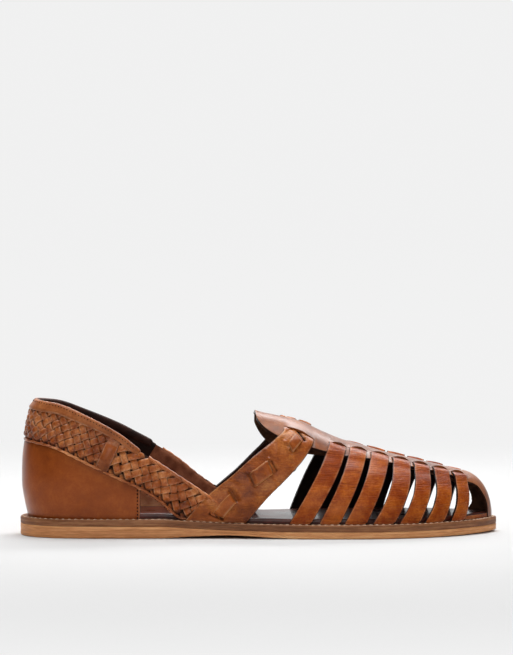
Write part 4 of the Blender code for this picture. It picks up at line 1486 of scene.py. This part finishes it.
def add_binding():
    ends = [signed_round(side, BINDING_FRONT[side]) for side in SIDES]
    rounds = np.linspace(*ends, 190)
    edge = band_heights(rounds)[1]
    to_end = np.clip(np.minimum(rounds - ends[0], ends[1] - rounds) / BINDING_END, 0, 1)
    full = np.sqrt(np.clip(1 - (1 - to_end) ** 2, 0.02, 1))
    point = rear_point(rounds, edge)
    out = rear_point(rounds, edge, 1.0) - point
    up = unit(np.cross(unit(np.gradient(point, axis=0)), out))
    up *= np.sign(up[:, 2])[:, None]
    full, height = full[:, None], binding_height(rounds)[:, None]
    outwards, down, more = np.array(BINDING_PROFILE).T
    level = between(-height / 2, more - height * down, full)
    rings = rings_round(point, out, up, between(-0.7, outwards, full), level)
    piece = Piece()
    rim = np.full(rings.shape[:2], NO_EDGE)
    rim[:, :3] = 0.75
    piece.tube(rings, slots=[0] * 8 + [1] * 7, rim=rim)
    made = piece.build("collar_binding_strip", [BINDING_FACE, COLLAR_LINING])
    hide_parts("collar_binding")
    line, outs = (point + out * 1.42 + up * -1.15)[4:-4], out[4:-4]
    places, along = along_curve(line, 2.05)
    outs = read_line(np.linspace(0, 1, len(places)), np.linspace(0, 1, len(outs)), outs)
    made = add_stitches("binding_stitches", places, along, outs, 1.3, 0.75, DARK_THREAD, 0.12)


def add_keepers():
    t, across = np.linspace(0, 1, 26)[:, None], np.linspace(0, 1, 11)
    lift = 0.2 + 2.2 * ease((t - 0.06) / 0.3) - 1.9 * ease((t - 0.66) / 0.34)
    lift = lift + KEEPER_CROWN * crown(across)
    # Painted highlight: near the top the rim distance is made small all across, so the keeper takes
    # the lightened edge colour there.
    painted_top_highlight = 0.55 + 9 * (1 - ease((t - 0.6) / 0.25))
    # Painted shade, deepest low down and towards the keeper's front edge.
    shade = 0.5 * (1 - ease((t - 0.1) / 0.5)) * (0.4 + 0.6 * across)
    for side in SIDES:
        corners = np.array([(signed_round(side, x), z) for x, z in KEEPER[side]])
        low, high = (between(*pair, across[:, None]) for pair in (corners[:2], corners[2:]))
        rounds, heights = np.moveaxis(between(low, high, t[..., None]), -1, 0)
        rounds = rounds + (0.5 - across) * side * KEEPER_PINCH * np.sin(math.pi * t * 0.8)
        points = rear_point(rounds, heights, lift)
        rim = np.minimum(border_distance(points, "23") + 0.2, painted_top_highlight)
        name = f"keeper_strip_{NAMES[side]}"
        made = sheet(name, [KEEPER_FACE, LINING], points, 1.5, 0.35, rim, shade)
        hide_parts(f"keeper_{NAMES[side]}")


# ---- stage


# In metres: half the floor's size, where it bends up, the bend's radius and the top of the wall.
SWEEP_HALF, SWEEP_BEND, SWEEP_RADIUS, SWEEP_TOP = 14.0, 12.0, 2.0, 9.0


def add_stage():
    """A floor that sweeps up into a backdrop. Away from the object it glows evenly by itself, in
    place of a backdrop lit from its own lamps."""
    material, shader = new_shader("studio_white")
    place = shader.position()
    reach = shader.node("VectorMath", {0: place}, operation="LENGTH").outputs["Value"]
    tone = shader.map(shader.noise(place, 3, 2), 0.3, 0.7, 0.6, 0.62)
    shade = shader.node("CombineColor", {0: tone, 1: tone, 2: tone}).outputs[0]
    shader.set(Base_Color=shade, Roughness=0.9, Specular_IOR_Level=0.0)
    glow = {"Color": (1, 1, 1, 1), "Strength": shader.map(reach, 1.0, 5.0, 0.885, 0.875)}
    glow = shader.node("Emission", glow).outputs[0]
    away = shader.step(reach, 0.2, 0.8)
    blend = shader.node("MixShader", {0: away, 1: shader.surface.outputs[0], 2: glow})
    shader.feed(shader.tree.nodes["Material Output"].inputs["Surface"], blend.outputs[0])
    bend = [
        (SWEEP_BEND + SWEEP_RADIUS * math.sin(a), SWEEP_RADIUS * (1 - math.cos(a)))
        for a in np.linspace(0.1, math.pi / 2, 16)
    ]
    profile = [(-SWEEP_HALF, 0.0), (SWEEP_BEND, 0.0), *bend, (SWEEP_HALF, SWEEP_TOP)]
    mesh = bpy.data.meshes.new("studio_sweep")
    points = [(x, y, z + GROUND - 0.0001) for y, z in profile for x in (-SWEEP_HALF, SWEEP_HALF)]
    faces = [(2 * i, 2 * i + 1, 2 * i + 3, 2 * i + 2) for i in range(len(profile) - 1)]
    mesh.from_pydata(points, [], faces)
    mesh.materials.append(material)
    mesh.shade_smooth()
    new_object("studio_sweep", mesh)


def add_light(name, place, target, size, power):
    lamp = bpy.data.lights.new(name, "AREA")
    put(lamp, shape="RECTANGLE", size=size[0], size_y=size[1], energy=power)
    turn = (Vector(target) - Vector(place)).to_track_quat("-Z", "Y").to_euler()
    put(new_object(name, lamp), location=place, rotation_euler=turn)


def add_lights():
    add_light("overhead_softbox", (-0.05, 0.1, 1.35), (0, 0, 0), (1.0, 0.6), 19.0)
    add_light("rear_strip", (0.2, 1.0, 0.95), (0.05, 0, 0.03), (1.4, 0.3), 13.0)
    add_light("front_key", (-0.1, -1.9, 0.9), (0, 0, 0.03), (0.9, 0.9), 5.0)
    world = bpy.data.worlds.new("studio_world")
    bpy.context.scene.world = world
    sky = Shader(world, "Background")
    direction = sky.node("TexCoord").outputs["Generated"]
    sideways = sky.math("ABSOLUTE", sky.part(direction, "X"))
    sky.set(Color=(1, 1, 1, 1), Strength=sky.map(sideways, 0.35, 0.95, 0.3, 0.04))


CAMERA_TURN, CAMERA_RISE = math.radians(3.5), math.radians(3.0)
# In metres: distance, width of the view where the object stands, and the camera's offset from
# the line through the frame's origin.
CAMERA_DISTANCE, VIEW_WIDTH = 3.5, 0.31686558
CAMERA_LEFT, CAMERA_UP = 0.00185302, 0.12674623
SENSOR = 36.0


def add_camera():
    a, e = CAMERA_TURN, CAMERA_RISE
    ahead = Vector((math.sin(a) * math.cos(e), math.cos(a) * math.cos(e), -math.sin(e)))
    right = Vector((math.cos(a), -math.sin(a), 0))
    up = right.cross(ahead)
    lens = bpy.data.cameras.new("camera")
    put(lens, sensor_fit="HORIZONTAL", sensor_width=SENSOR, clip_end=60.0)
    lens.lens = SENSOR * CAMERA_DISTANCE / VIEW_WIDTH
    camera = new_object("camera", lens)
    place = -ahead * CAMERA_DISTANCE - right * CAMERA_LEFT + up * CAMERA_UP
    axes = Matrix((right, up, -ahead)).transposed().to_4x4()
    camera.matrix_world = Matrix.Translation(place) @ axes
    bpy.context.scene.camera = camera


def main():
    add_outsole()
    add_welt()
    add_welt_stitches()
    add_footbed()
    for side in SIDES:
        for index in range(len(STRAPS)):
            add_strap(index, side)
    add_spine()
    for side in SIDES:
        add_instep_strap(side)
    add_toe_rim()
    add_band()
    add_counter()
    add_binding()
    add_keepers()
    add_stage()
    add_lights()
    add_camera()
    bpy.context.scene.view_settings.view_transform = "Standard"


main()
